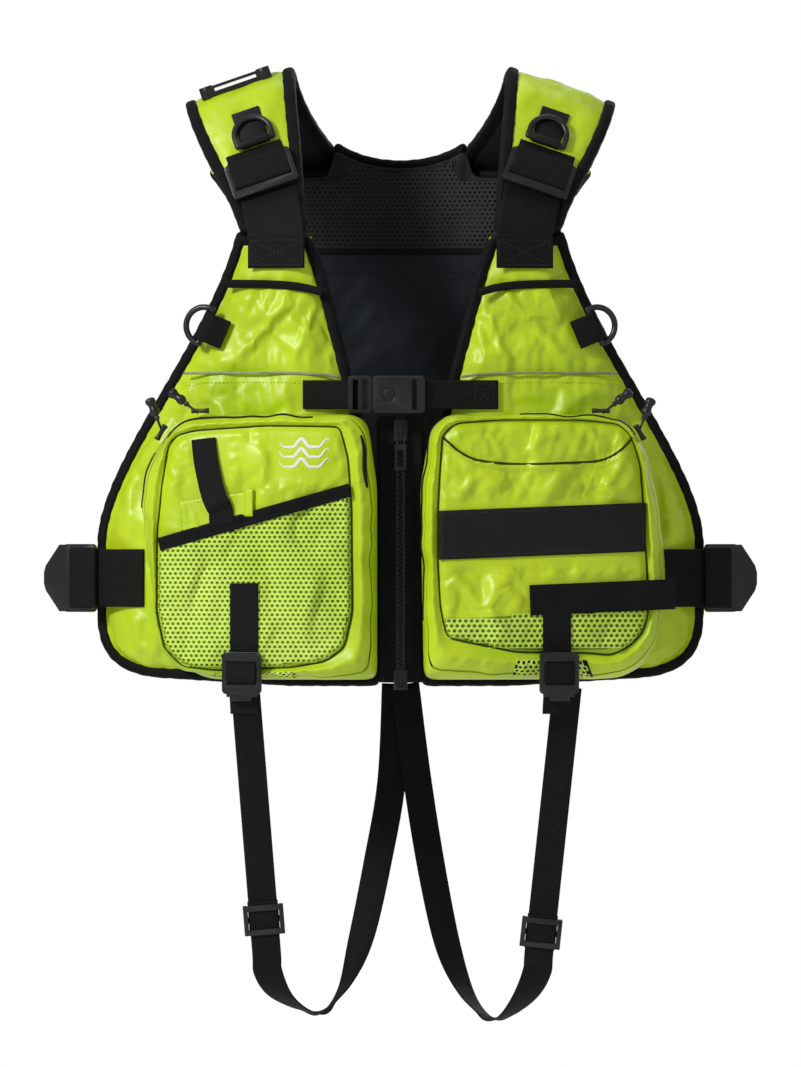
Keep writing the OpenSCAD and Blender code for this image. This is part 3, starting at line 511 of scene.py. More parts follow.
def leg_strap(key):
    """Ribbon whose width turns by the route's fourth value about the vertical."""
    line = smooth_route(LEG_ROUTES[key], 12)
    path, turn = line[:, :3], np.radians(line[:, 3])
    along = unit(np.gradient(path, axis=0))
    flat = np.stack([np.cos(turn), np.sin(turn), 0 * turn], 1)
    side = unit(flat - (flat * along).sum(1, keepdims=True) * along)
    out = np.cross(side, along)
    ribbon = strap("leg_strap_web_" + key, [carried(path, side, out, rounded_section(NARROW_WEB, 1.6, 7.0, 20))],
                   stands_for=["leg_strap_" + key])
    length = float(np.linalg.norm(np.diff(path, axis=0), axis=1).sum()) * 0.001
    return ribbon, path, length


def moulded(node, bevel=0.45, material=None, name=None, flat_angle=25.0):
    """A solid node's own shape, its doubles merged and its edges rounded, in a better finish."""
    mesh = frame["nodes"][node].data.copy()
    work = bmesh.new()
    work.from_mesh(mesh)
    bmesh.ops.remove_doubles(work, verts=work.verts, dist=2e-6)
    bmesh.ops.dissolve_limit(work, angle_limit=np.radians(1.0), verts=work.verts, edges=work.edges)
    work.to_mesh(mesh)
    work.free()
    mesh.materials.clear()
    mesh.materials.append(material or PLASTIC)
    mesh.shade_smooth()
    piece = bpy.data.objects.new(name or node + "_moulded", mesh)
    bpy.context.scene.collection.objects.link(piece)
    if bevel:
        edge = piece.modifiers.new("edge", "BEVEL")
        edge.width, edge.segments, edge.limit_method = bevel * 0.001, 2, "ANGLE"
        edge.angle_limit, edge.harden_normals = np.radians(flat_angle), True
    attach(piece, BODY_OF[node])
    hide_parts(node)
    return piece


for key in "lr":
    ribbon, path, length = leg_strap(key)
    slide = moulded("leg_slide_" + key, 0.5)
    held = np.argmin(np.abs(path[:60, 2] - np.mean([c[2] for c in slide.bound_box]) * 1000))
    turn = np.stack([path[held - 2], path[held + 2]])
    fold = resample(np.stack([turn.mean(0) + k * unit(turn[1] - turn[0]) for k in (-15, 15)]), 12)
    strap("leg_fold_" + key, [web(fold, np.broadcast_to([0.0, -1.0, 0.0], fold.shape), 26.4, 3.0)],
          "leg_slide_" + key)


# ---------- front panels ----------
INNER = [(19, -512), (19, -334), (30, -297), (43, -246), (63, -168), (71, -139), (77, -125)]
ARMHOLE = bezier((139, -119.3), (160, -213), (258, -318), (260, -389), 40)
CORNER = bezier((260, -452), (260, -494), (235, -505), (200, -506), 16)
OUTLINE = np.vstack([soften(resample(INNER, 120), 60), [(135, -125)], ARMHOLE, CORNER, [(95, -512)]])


def by_height(line, n):
    """A line's points at n equal steps of height, low to high."""
    p = np.asarray(line, float)
    p = p[np.argsort(p[:, 1])]
    z = np.linspace(p[0, 1], p[-1, 1], n)
    return np.stack([np.interp(z, p[:, 1], p[:, 0]), z], 1)


def panel_grid(nu=58, nv=96):
    """Front-view grid of a front panel, from the zip side to the armhole and from hem to shoulder."""
    left = by_height(OUTLINE[:120], nv)
    right = by_height(np.vstack([ARMHOLE, CORNER[:12]]), nv)
    low = resample([left[0], (95, -512), (200, -506), right[0]], nu)
    high = resample([left[-1], (135, -125), right[-1]], nu)
    return coons(left, right, low, high)


PIPING_Z, REFLECT_Z = -168.0, -245.0
FOLD_SEED = {1: 20, -1: 60}


def seam_z(z, x):
    """Height of a cross seam: level, and dropping exponentially as it nears the zip side."""
    edge, drop = (62.0, 11.0) if z == PIPING_Z else (43.0, 6.0)
    return z + 2.0 - drop * np.exp(-np.clip(x - edge, 0, None) / 20)


def panel_relief(x, z, seed):
    """How far the front cloth stands off its smooth curve.

    Seams pull it in along the two pipings; gathers fan out below each and fade with depth;
    slow folds and a few long slanting creases run between the armhole and the zip.
    """
    piping, reflect = seam_z(PIPING_Z, x), seam_z(REFLECT_Z, x)
    below, above = np.clip(piping - z, 0, None), np.clip(z - piping, 0, None)
    relief = -3.2 * np.exp(-(((z - piping) / 6.0) ** 2)) - 2.6 * np.exp(-(((z - reflect) / 4.0) ** 2))
    lean = x + 0.35 * (z - PIPING_Z)
    relief += 3.4 * ripple(lean, seed, (34, 21, 13)) * np.exp(-below / 24) * (below > 0) * (1 - np.exp(-below / 3))
    relief += 1.8 * ripple(x - 0.2 * z, seed + 1, (26, 15)) * np.exp(-above / 16) * (above > 0)
    near = z - reflect
    relief += 2.0 * ripple(x, seed + 2, (23, 14, 9)) * np.exp(-np.abs(near) / 13) * (1 - np.exp(-np.abs(near) / 3))
    relief += 2.6 * folds(x, z, seed + 3, 92.0, lean=(-0.5, 1.1), count=5)
    relief += 0.4 * folds(x, z, seed + 4, 34.0)
    for start, end, width, depth in PANEL_CREASES:
        relief += crease(x, z, start, end, width, 1.5 * depth)
    return relief * calm(x, z, PANEL_TRIMS)


PANEL_CREASES = [((88, -172), (150, -240), 5.0, 2.6), ((120, -170), (196, -236), 6.0, 2.4),
                 ((70, -180), (96, -242), 4.0, 1.8), ((150, -175), (168, -238), 5.0, -1.6),
                 ((96, -128), (124, -166), 4.0, 1.4), ((226, -300), (246, -420), 7.0, 2.2),
                 ((236, -330), (228, -500), 5.0, 1.6), ((180, -250), (240, -330), 7.0, 1.8)]


def calm(x, z, boxes, reach=7.0):
    """0 within the boxes (x from, x to, z from, z to) where trims are sewn flat, rising to 1 around them."""
    factor = np.ones(np.broadcast(x, z).shape)
    for x0, x1, z0, z1 in boxes:
        away = np.hypot(np.maximum(np.maximum(x0 - x, x - x1), 0), np.maximum(np.maximum(z0 - z, z - z1), 0))
        factor = np.minimum(factor, 1 - np.exp(-((away / reach) ** 2)))
    return factor


PANEL_TRIMS = [(48, 88, -276, -248), (80, 134, -154, -118), (221, 270, -446, -394), (146, 176, -222, -186)]


def padded_panel(grid, outline, relief, back=False, inner_rest=INNER_R, edge=5.5, start=8.0):
    """Front and back faces of a foam panel, joined at its border.

    Half thickness = edge + rise * (1 - exp(-(d - start) / 10)), where d is the distance to the
    outline, so the cover stays thin inside the binding and swells to full depth past it.
    """
    d = distance_to(grid, looped(outline))
    swell = 1 - np.exp(-np.clip(d - start, 0, None) / 10)
    x, z = grid[..., 0], grid[..., 1]
    outer = MID_R + edge + (PANEL_R - MID_R - edge + 0.4) * swell + relief * np.clip(swell * 1.3, 0, 1)
    inner = MID_R - edge - (MID_R - inner_rest - edge - 0.6) * swell
    face, rear = on_curve(x, z, outer, back), on_curve(x, z, inner, back)
    return face, rear


def closed_pair(face, rear):
    """One closed skin from a face, its rear and the strips that join their four borders."""
    return [face, rear[::-1], np.stack([looped(border(rear)), looped(border(face))], 0)]


def settle(piece, held, growth=0.05, pressure=0.5, cap=6.0, frames=16):
    """Lets the cover find its own creases: cloth a little too large for its seams.

    `held` tells the points that the seams hold.  The rest relaxes under a light inner pressure,
    no point moves more than `cap`, and the rest shape is replaced by the settled one.
    """
    mesh = piece.data
    start = np.empty(len(mesh.vertices) * 3, np.float32)
    mesh.vertices.foreach_get("co", start)
    group = piece.vertex_groups.new(name="held")
    group.add([int(i) for i in np.flatnonzero(held(start.reshape(-1, 3) * 1000.0))], 1.0, "REPLACE")
    levels = [m for m in piece.modifiers]
    for m in levels:
        m.show_viewport = False
    cloth = piece.modifiers.new("cloth", "CLOTH")
    c = cloth.settings
    c.quality, c.mass, c.air_damping = 6, 0.25, 4.0
    c.tension_stiffness = c.compression_stiffness = 30.0
    c.shear_stiffness, c.bending_stiffness = 10.0, 1.6
    c.tension_damping = c.compression_damping = 8.0
    c.vertex_group_mass, c.shrink_min = "held", -growth
    c.use_pressure, c.uniform_pressure_force = True, pressure
    c.effector_weights.gravity = 0.0
    cloth.collision_settings.use_collision = False
    cloth.point_cache.frame_start, cloth.point_cache.frame_end = 1, frames
    scene = bpy.context.scene
    for f in range(1, frames + 1):
        scene.frame_set(f)
    settled = np.empty_like(start)
    piece.evaluated_get(bpy.context.evaluated_depsgraph_get()).data.vertices.foreach_get("co", settled)
    move = (settled - start).reshape(-1, 3)
    far = np.linalg.norm(move, axis=1, keepdims=True)
    move *= np.minimum(1.0, cap * 0.001 / np.maximum(far, 1e-9))
    piece.modifiers.remove(cloth)
    piece.vertex_groups.remove(group)
    mesh.vertices.foreach_set("co", (start.reshape(-1, 3) + move).ravel())
    mesh.update()
    for m in levels:
        m.show_viewport = True
    scene.frame_set(1)
    print("settled", piece.name, "moved up to", round(float(far.max()) * 1000, 2), "mm")


def near_lines(lines, reach):
    """Held test: inner faces, sewn trims, and points whose front view is within `reach` of a line."""
    def test(points):
        flat = np.stack([np.abs(points[:, 0]), points[:, 2]], 1)
        deep = np.hypot(points[:, 0], ARC_Y + np.abs(points[:, 1])) < MID_R + 4
        deep |= calm(flat[:, 0], flat[:, 1], PANEL_TRIMS) < 0.3
        return deep | (np.min([distance_to(flat, np.asarray(line, float)) for line in lines], 0) < reach)
    return test


GRID = panel_grid()
for side, key in ((1, "l"), (-1, "r")):
    relief = panel_relief(GRID[..., 0], GRID[..., 1], FOLD_SEED[side])
    sheets = [mirrored(s, side) for s in closed_pair(*padded_panel(GRID, OUTLINE, relief))]
    panel = build("front_panel_" + key, sheets, LIME, "vest",
                  ["front_cover_" + key] + (["front_foams"] if key == "l" else []), levels=1)
    seam_x = np.linspace(20, 280, 40)
    settle(panel, near_lines([looped(OUTLINE)] + [np.stack([seam_x, seam_z(z, seam_x)], 1)
                                                  for z in (PIPING_Z, REFLECT_Z)], 9.0))


# ---------- edge bindings and pipings ----------
def bound_edge(path, out, width=9.8, thick=16.6, seed=1):
    """Tape folded round a closed edge: a rounded box section, its girth puckering slightly."""
    along = unit(np.roll(path, -1, 0) - np.roll(path, 1, 0))
    out = unit(out - (out * along).sum(-1, keepdims=True) * along)
    side = unit(np.cross(along, out))
    side *= np.sign(((path.mean(0) - path) * side).sum())
    step = np.linalg.norm(np.diff(path, axis=0), axis=1).mean()
    swell = 1 + 0.05 * ripple(np.arange(len(path)) * step, seed, (17, 9))
    section = rounded_section(width, thick, 3.4, 18)[None] * swell[:, None, None]
    return carried(path + side * (width / 2 - 1.0), side, out, section, closed=True)


def outline_edge(outline, side, back=False, n=420, seed=3):
    """The binding round a panel: its outline laid on the curve half way through the foam."""
    flat = soften(resample(outline, n, True), 4, True)
    path = on_curve(flat[:, 0], flat[:, 1], MID_R, back)
    return mirrored(bound_edge(path, outward(path, back), seed=seed), side)


def reach_at(outline, z, inset):
    """Least and greatest x of an outline at one height, drawn in by an inset."""
    a, b = outline, np.roll(outline, -1, 0)
    cross = (a[:, 1] - z) * (b[:, 1] - z) < 0
    t = (z - a[cross, 1]) / (b[cross, 1] - a[cross, 1])
    x = a[cross, 0] + t * (b[cross, 0] - a[cross, 0])
    return x.min() + inset, x.max() - inset


def cross_piping(z, wide, high, lift, side, n=70, inset=4.0):
    """A rounded piping across one front panel along its seam, following the panel's curve."""
    x = np.linspace(*reach_at(OUTLINE, z, inset), n)
    path = on_curve(x, seam_z(z, x), PANEL_R + lift)
    across = np.broadcast_to([0.0, 0.0, 1.0], path.shape)
    return mirrored(carried(path, across, outward(path), rounded_section(wide, high, 2.4, 14)), side)


edges = [outline_edge(OUTLINE, side, seed=3 + side) for side in (1, -1)]
edges += [cross_piping(PIPING_Z, 7.2, 5.0, 0.2, side) for side in (1, -1)]
build("front_edge_tape", edges, TAPE, "vest", ["front_bindings"])
build("reflective_trim", [cross_piping(REFLECT_Z, 2.2, 2.4, 0.5, side, inset=9.0) for side in (1, -1)],
      REFLECTIVE, "vest", ["piping_reflective"])


def panel_stitches(lift, side):
    """A row of stitches just below the reflective piping, on the cloth's own shape."""
    x = np.linspace(*reach_at(OUTLINE, REFLECT_Z - 8, 10.0), 80)
    z = seam_z(REFLECT_Z, x) - 8
    path = on_curve(x, z, PANEL_R + lift + panel_relief(x, z, FOLD_SEED[side]))
    return [mirrored(s, side) for s in stitches(path, outward(path), 2.4, 1.2, 0.5)]


threads("front_seam_threads", sum([panel_stitches(0.6, side) for side in (1, -1)], []), lime=True)

# ---------- back panel ----------
BACK_ARM = bezier((168, -62), (152, -86), (139, -96), (139, -119.3), 20)
NECK = bezier((0, -53), (22, -53), (44, -47), (57.7, -36), 20)
BACK_HALF = np.vstack([NECK, [(57.7, -62)], BACK_ARM, ARMHOLE[1:], CORNER, [(95, -512), (0, -512)]])
BACK_OUTLINE = np.vstack([BACK_HALF, BACK_HALF[-2:0:-1] * [-1, 1]])


def back_grid(low_z, high, nu, nv, inset=0.0):
    """Full-width grid of the back between a low height and a given top line."""
    right = by_height(np.vstack([BACK_ARM, ARMHOLE[1:], CORNER[:12]]), 400) - [inset, 0]
    keep = (right[:, 1] >= low_z) & (right[:, 1] <= high[-1][1] + 0.01)
    right = by_height(right[keep], nv)
    left = right * [-1, 1]
    low = resample([left[0], (0, left[0, 1] - (6 if low_z < -500 else 0)), right[0]], nu)
    top = resample(np.vstack([[left[-1]], high[1:-1], [right[-1]]]), nu)
    return coons(left, right, low, soften(top, 3))


BACK_SEAMS = (-150.0, -330.0)
TOP_LINE = np.vstack([[(-168, -62), (-57.7, -62)], NECK[::-1] * [-1, 1], NECK[1:], [(57.7, -62), (168, -62)]])
BACK_GRID = back_grid(-506, TOP_LINE, 120, 96)
bx, bz = BACK_GRID[..., 0], BACK_GRID[..., 1]
back_relief = (-2.6 * np.exp(-(((bz - BACK_SEAMS[0]) / 6.0) ** 2)) - 2.0 * np.exp(-(((bz - BACK_SEAMS[1]) / 5.0) ** 2))
               + 0.9 * folds(bx, bz, 91, 90.0) + 1.2 * ripple(bx, 92, (30, 18, 11)) * np.exp(-np.abs(bz + 158) / 20)
               + 0.9 * ripple(bx, 93, (28, 16)) * np.exp(-np.abs(bz - BACK_SEAMS[1]) / 16))
back = build("back_panel", closed_pair(*padded_panel(BACK_GRID, BACK_OUTLINE, back_relief, back=True)), LIME,
             "vest", ["back_cover", "back_foam"], levels=1)
settle(back, near_lines([np.vstack([BACK_HALF, BACK_HALF[:1] * [0, 1]])]
                        + [[(0, z), (300, z)] for z in BACK_SEAMS], 8.0))
build("back_edge_tape", [outline_edge(BACK_OUTLINE, 1, back=True, n=700, seed=11)], TAPE, "vest",
      ["back_binding"])


def lining_sheet(grid, seed, deep, soft=0.8):
    """Thin lining on the inner side: a face that ripples slowly and a rear against the foam."""
    x, z = grid[..., 0], grid[..., 1]
    relief = soft * folds(x, z, seed, 70.0) + 0.5 * folds(x, z, seed + 1, 30.0)
    return closed_pair(on_curve(x, z, INNER_R - 0.15, True), on_curve(x, z, INNER_R - deep - relief, True))


YOKE_Z = -133.0
navy = back_grid(-504, np.array([(-131, YOKE_Z), (131, YOKE_Z)]), 90, 70, 9.0)
build("navy_lining_cloth", lining_sheet(navy, 71, 2.0), NAVY, "vest", ["back_lining"], levels=1)
yoke_top = np.vstack([[(-150, -68), (-64, -68)], NECK[::-1] * [-1, 1] - [0, 7], NECK[1:] - [0, 7],
                      [(64, -68), (150, -68)]])
yoke = back_grid(YOKE_Z, yoke_top, 90, 26, 9.0)
build("yoke_cloth", lining_sheet(yoke, 75, 1.2, 0.3), BLACK_CLOTH, "vest", ["back_mesh"], levels=1)


def inside(x, z, outline):
    """Even-odd test of points against a closed outline."""
    a, b = outline, np.roll(outline, -1, 0)
    x, z = x[..., None], z[..., None]
    crossing = (a[:, 1] > z) != (b[:, 1] > z)
    at = a[:, 0] + (z - a[:, 1]) / np.where(b[:, 1] == a[:, 1], 1e-9, b[:, 1] - a[:, 1]) * (b[:, 0] - a[:, 0])
    return (crossing & (x < at)).sum(-1) % 2 == 1


def yoke_place(x, z, lift):
    """A place on the yoke's inner face, `lift` off it, with the quilted hollows of sin(x) sin(z)."""
    return on_curve(x, z, INNER_R - 2.4 - lift - 0.25 * np.sin(x / 9) * np.sin(z / 7), True)


def in_yoke(x, z):
    """True where the knit shows: inside the back's outline, clear of its binding."""
    return inside(x, z, BACK_OUTLINE) & (distance_to(np.stack([x, z], -1), looped(BACK_OUTLINE)) > 10)


build("yoke_mesh_knit", holed_cloth((-150, YOKE_Z), (150, -40), 4.4, 0.52, yoke_place, in_yoke), BLACK_MESH, "vest")
seam_x = np.linspace(-128, 128, 90)
seam_path = on_curve(seam_x, np.full_like(seam_x, YOKE_Z), INNER_R - 2.6, True)
build("yoke_seam_tape", [carried(seam_path, np.broadcast_to([0.0, 0.0, 1.0], seam_path.shape),
                                 outward(seam_path, True), rounded_section(5, 1.6, 4.0, 14))],
      TAPE, "vest")
row_path = on_curve(seam_x, np.full_like(seam_x, YOKE_Z - 18), INNER_R - 2.9, True)
threads("yoke_threads", stitches(row_path, -outward(row_path, True), 2.6, 1.4, 0.5))

# ---------- shoulder pads ----------
NECK_FRONT = bezier((97, 45), (93, 0), (86, -60), (83, -119), 40)
NECK_BACK = np.vstack([bezier((97, 45), (95, 8), (74, -24), (58, -40), 40), [(58, -130)]])
ARM_EDGE = np.vstack([[(139, -130)], bezier((139, -119), (145, -88), (176, -50), (187, -7), 40), [(202, 60)]])


def arch_line():
    """Side view of the pad's outer face: a leg, the arch over the shoulder, a leg; with normals."""
    front_a, back_a = np.radians(153.084), np.radians(46.88)
    a = np.linspace(front_a, back_a, 40)
    arc = np.stack([np.cos(a), np.sin(a)], 1) * ARCH_R + [0, ARCH_MID_Z]
    fn, bn = np.array([np.cos(front_a), np.sin(front_a)]), np.array([np.cos(back_a), np.sin(back_a)])
    front = arc[0] + np.linspace(130, 0, 40)[:-1, None] * np.array([-fn[1], fn[0]])
    back_leg = arc[-1] + np.linspace(0, 130, 40)[1:, None] * np.array([bn[1], -bn[0]])
    line = np.vstack([front, arc, back_leg])
    normal = np.vstack([np.broadcast_to(fn, front.shape), np.stack([np.cos(a), np.sin(a)], 1),
                        np.broadcast_to(bn, back_leg.shape)])
    run = np.concatenate([[0], np.cumsum(np.linalg.norm(np.diff(line, axis=0), axis=1))])
    return line, normal, run


ARCH_LINE, ARCH_NORMAL, ARCH_RUN = arch_line()


def pad_grid(nu=30, nv=80):
    """Places on a pad's outer face: u across it, v from the front foot over the top to the back.

    The width at each station is found by repeating: world height of the point gives the two
    edges there, and their mix gives the new distance along the sloping shoulder.
    """
    share = np.linspace(0, 1, nu)[:, None]
    v = np.linspace(0, 1, nv)[None, :]
    across = np.zeros((nu, nv))
    crown = np.argmin(np.abs(ARCH_LINE[:, 0]))
    for _ in range(14):
        low = (-119.0 + across * np.sin(PAD_SLOPE)) / np.cos(PAD_SLOPE)
        rear = (-60.7 + across * np.sin(PAD_SLOPE)) / np.cos(PAD_SLOPE)
        start = np.interp(low, ARCH_LINE[:crown, 1], ARCH_RUN[:crown])
        end = np.interp(-rear, -ARCH_LINE[crown:, 1], ARCH_RUN[crown:])
        run = start + (end - start) * v
        y, z = np.interp(run, ARCH_RUN, ARCH_LINE[:, 0]), np.interp(run, ARCH_RUN, ARCH_LINE[:, 1])
        world_z = -across * np.sin(PAD_SLOPE) + z * np.cos(PAD_SLOPE)
        front_in = np.interp(world_z, NECK_FRONT[::-1, 1], NECK_FRONT[::-1, 0])
        back_in = np.interp(world_z, NECK_BACK[::-1, 1], NECK_BACK[::-1, 0])
        inner = np.where(y < 0, front_in, back_in)
        outer = np.interp(world_z, ARM_EDGE[:, 1], ARM_EDGE[:, 0])
        world_x = inner + (outer - inner) * share
        across = 0.5 * across + 0.5 * (world_x - PAD_MID_X - z * np.sin(PAD_SLOPE)) / np.cos(PAD_SLOPE)
    return across, run


def on_pad(across, run, depth):
    """World point of the wearer's left pad, `depth` below its outer face."""
    y = np.interp(run, ARCH_RUN, ARCH_LINE[:, 0]) - depth * np.interp(run, ARCH_RUN, ARCH_NORMAL[:, 0])
    z = np.interp(run, ARCH_RUN, ARCH_LINE[:, 1]) - depth * np.interp(run, ARCH_RUN, ARCH_NORMAL[:, 1])
    c, s = np.cos(PAD_SLOPE), np.sin(PAD_SLOPE)
    return np.stack([PAD_MID_X + across * c + z * s, y, -across * s + z * c], -1)


def pad_normal(across, run):
    """Unit normal of a pad's outer face."""
    return unit(on_pad(across, run, -1.0) - on_pad(across, run, 0.0))


ACROSS, RUN = pad_grid()
EDGE_A, EDGE_R = ACROSS.copy(), RUN.copy()
lo_u, hi_u = ACROSS[0][None], ACROSS[-1][None]
from_side = np.minimum(ACROSS - lo_u, hi_u - ACROSS)
from_end = np.minimum(RUN - RUN[:, :1], RUN[:, -1:] - RUN)
tuck = 4.5 * np.exp(-(from_side**2 + from_end**2) / 90)
ACROSS = ACROSS - tuck * np.sign(ACROSS - (lo_u + hi_u) / 2)
RUN = RUN - tuck * np.sign(RUN - RUN.mean(1, keepdims=True))
pad_d = np.minimum(np.minimum(ACROSS - lo_u, hi_u - ACROSS), np.minimum(RUN - RUN[:, :1], RUN[:, -1:] - RUN))
for side, key in ((1, "l"), (-1, "r")):
    seed = 120 if side > 0 else 140
    dip = 3.6 * np.exp(-np.clip(pad_d - 7, 0, None) / 7)
    bulge = (0.8 * folds(ACROSS, RUN, seed, 50.0) + 1.1 * ripple(RUN, seed + 1, (26, 15, 9)) * np.exp(-pad_d / 12)
             + 0.3 * folds(ACROSS, RUN, seed + 2, 22.0)) * np.clip(pad_d / 14, 0, 1)
    face, rear = on_pad(ACROSS, RUN, dip - bulge - 0.4), on_pad(ACROSS, RUN, 14 - dip)
    pad = build("shoulder_pad_cloth_" + key, [mirrored(s, side) for s in closed_pair(face, rear)], LIME, "vest",
                ["shoulder_pad_" + key], levels=1)
    under = np.where(pad_d[..., None] > 2.0, on_pad(ACROSS, RUN, 14.5 - dip), on_pad(ACROSS, RUN, 10.6))
    build("shoulder_lining_" + key, [mirrored(under, side)], BLACK_CLOTH, "vest", levels=1, thick=0.3)


def pad_edge(side):
    """The binding round a pad, at half its thickness."""
    flat = resample(np.stack([border(EDGE_A), border(EDGE_R)], 1), 260, True)
    flat = soften(flat, 6, True)
    path = on_pad(flat[:, 0], flat[:, 1], 7.0)
    return mirrored(bound_edge(path, pad_normal(flat[:, 0], flat[:, 1]), 10.4, 14.2, seed=15 + side), side)


build("shoulder_edge_tape", [pad_edge(1), pad_edge(-1)], TAPE, "vest", ["shoulder_bindings"])

# ---------- chest pockets ----------
BASE = {
    "r": np.array([(20, -507), (20, -341), (28, -285), (40, -279), (172, -279), (198, -291), (220, -322),
                   (224, -350), (219, -400), (211, -440), (198, -475), (181, -500), (164, -507)], float),
    "l": np.array([(20, -507), (17, -341), (26, -290), (40, -279), (172, -279), (197, -288), (213, -311),
                   (222, -350), (228, -400), (229, -432), (224, -470), (212, -494), (190, -506), (164, -507)], float),
}
FACE = {
    "r": np.array([(52, -290), (115, -289), (176, -293), (192, -297), (199, -304), (205, -340), (209, -380),
                   (210, -449), (203, -480), (187, -496), (158, -499), (93, -496), (64, -491), (48, -479),
                   (41, -449), (42, -358), (45, -317)], float),
    "l": np.array([(36, -297), (47, -287), (87, -284), (154, -284), (187, -287), (198, -297), (206, -323),
                   (209, -362), (212, -415), (213, -451), (208, -467), (196, -479), (181, -486), (160, -484),
                   (99, -483), (41, -471), (38, -464), (34, -444), (32, -407), (32, -362), (33, -340)], float),
}
FACE_MID = np.array([122.0, -392.0])
FACE_HALF = np.array([84.0, 102.0])
FACE_STEPS, WALL_STEPS = 62, 20
WALL_RUN = 46
SEAM_GROOVE = 4.6


def radius_at(outline, angle, passes):
    """Distance from the middle of the face to a softened outline, at each angle."""
    p = soften(resample(outline, 360, True), passes, True) - FACE_MID
    a = np.arctan2(p[:, 1], p[:, 0])
    order = np.argsort(a)
    a, r = a[order], np.linalg.norm(p, axis=1)[order]
    return np.interp(angle, np.concatenate([a - 2 * np.pi, a, a + 2 * np.pi]), np.tile(r, 3))


def face_points(key, across, up):
    """Front-view place of a face's square co-ordinates in [-1, 1]: loops shrink to the middle."""
    share = np.maximum(np.abs(across), np.abs(up))
    angle = np.arctan2(up * FACE_HALF[1], across * FACE_HALF[0])
    reach = radius_at(FACE[key], angle, 7) * share
    return FACE_MID + np.stack([reach * np.cos(angle), reach * np.sin(angle)], -1)


SMILE = smooth_route([(36, -299, 0, 0), (50, -311, 0, 0), (64, -318, 0, 0), (84, -321, 0, 0), (108, -322, 0, 0),
                      (140, -321, 0, 0), (170, -319, 0, 0), (186, -312, 0, 0), (200, -299, 0, 0)], 8)[:, :2]
FACE_CREASES = {
    "r": [((160, -300), (176, -350), 5, 1.8), ((110, -352), (118, -300), 6, 2.2), ((66, -300), (110, -345), 6, 1.6),
          ((190, -350), (176, -400), 4, 1.8), ((120, -395), (112, -470), 8, -1.8), ((150, -400), (170, -470), 9, 1.5),
          ((70, -400), (82, -480), 8, 1.6)],
    "l": [((62, -330), (46, -366), 4, 2.0), ((90, -326), (72, -366), 5, 2.2), ((112, -324), (96, -364), 5, 1.8),
          ((140, -326), (120, -362), 6, 2.2), ((168, -322), (188, -358), 6, 2.4), ((196, -310), (170, -352), 4, 1.6),
          ((76, -292), (90, -318), 4, 1.6), ((120, -290), (108, -318), 5, 1.8), ((160, -288), (176, -312), 5, 1.8),
          ((40, -412), (96, -470), 6, 2.6), ((90, -414), (70, -468), 8, 2.0), ((140, -412), (96, -446), 8, 1.6),
          ((70, -410), (120, -440), 6, -1.4)],
}


FACE_TRIMS = {
    "r": [(120, 148, -512, -424), (152, 176, -382, -296), (60, 108, -332, -296)],
    "l": [(120, 148, -512, -430), (110, 214, -452, -424), (33, 210, -405, -357)],
}


def edge_distance(key, x, z):
    """Distance in the front view from a pocket face's seam."""
    return distance_to(np.stack([x, z], -1), looped(soften(resample(FACE[key], 200, True), 4, True)))


def face_height(key, x, z):
    """Radius of a pocket's face cloth at a front-view place.

    A low dome, pulled in at the seam by a bell-shaped groove, puckered beside it, with creases.
    """
    d = edge_distance(key, x, z)
    seed = 200 if key == "r" else 240
    angle = np.arctan2(z - FACE_MID[1], x - FACE_MID[0])
    plain = LID_R + 1.6 * (1 - np.exp(-d / 16)) - SEAM_GROOVE * np.exp(-((d / 2.7) ** 2))
    pucker = ripple(angle * 92, seed, (31, 18, 11), 92 * 2 * np.pi)
    height = plain + 1.9 * pucker * np.exp(-d / 12) * (1 - np.exp(-d / 3))
    away = np.clip(d / 14, 0, 1)
    slow, fine = folds(x, z, seed + 1, 84.0, lean=(-0.5, 0.9), count=5), folds(x, z, seed + 2, 30.0)
    height += (2.9 * slow + 0.3 * fine) * away
    for start, end, width, depth in FACE_CREASES[key]:
        height += crease(x, z, start, end, width, 1.5 * depth) * away
    if key == "l":
        cut = distance_to(np.stack([x, z], -1), SMILE)
        below = z < np.interp(x, SMILE[:, 0], SMILE[:, 1])
        height += np.where(below, 1.6, -1.4) * np.exp(-((cut / 5.0) ** 2)) * away
    return plain + (height - plain) * (0.15 + 0.85 * calm(x, z, FACE_TRIMS[key], 9.0))


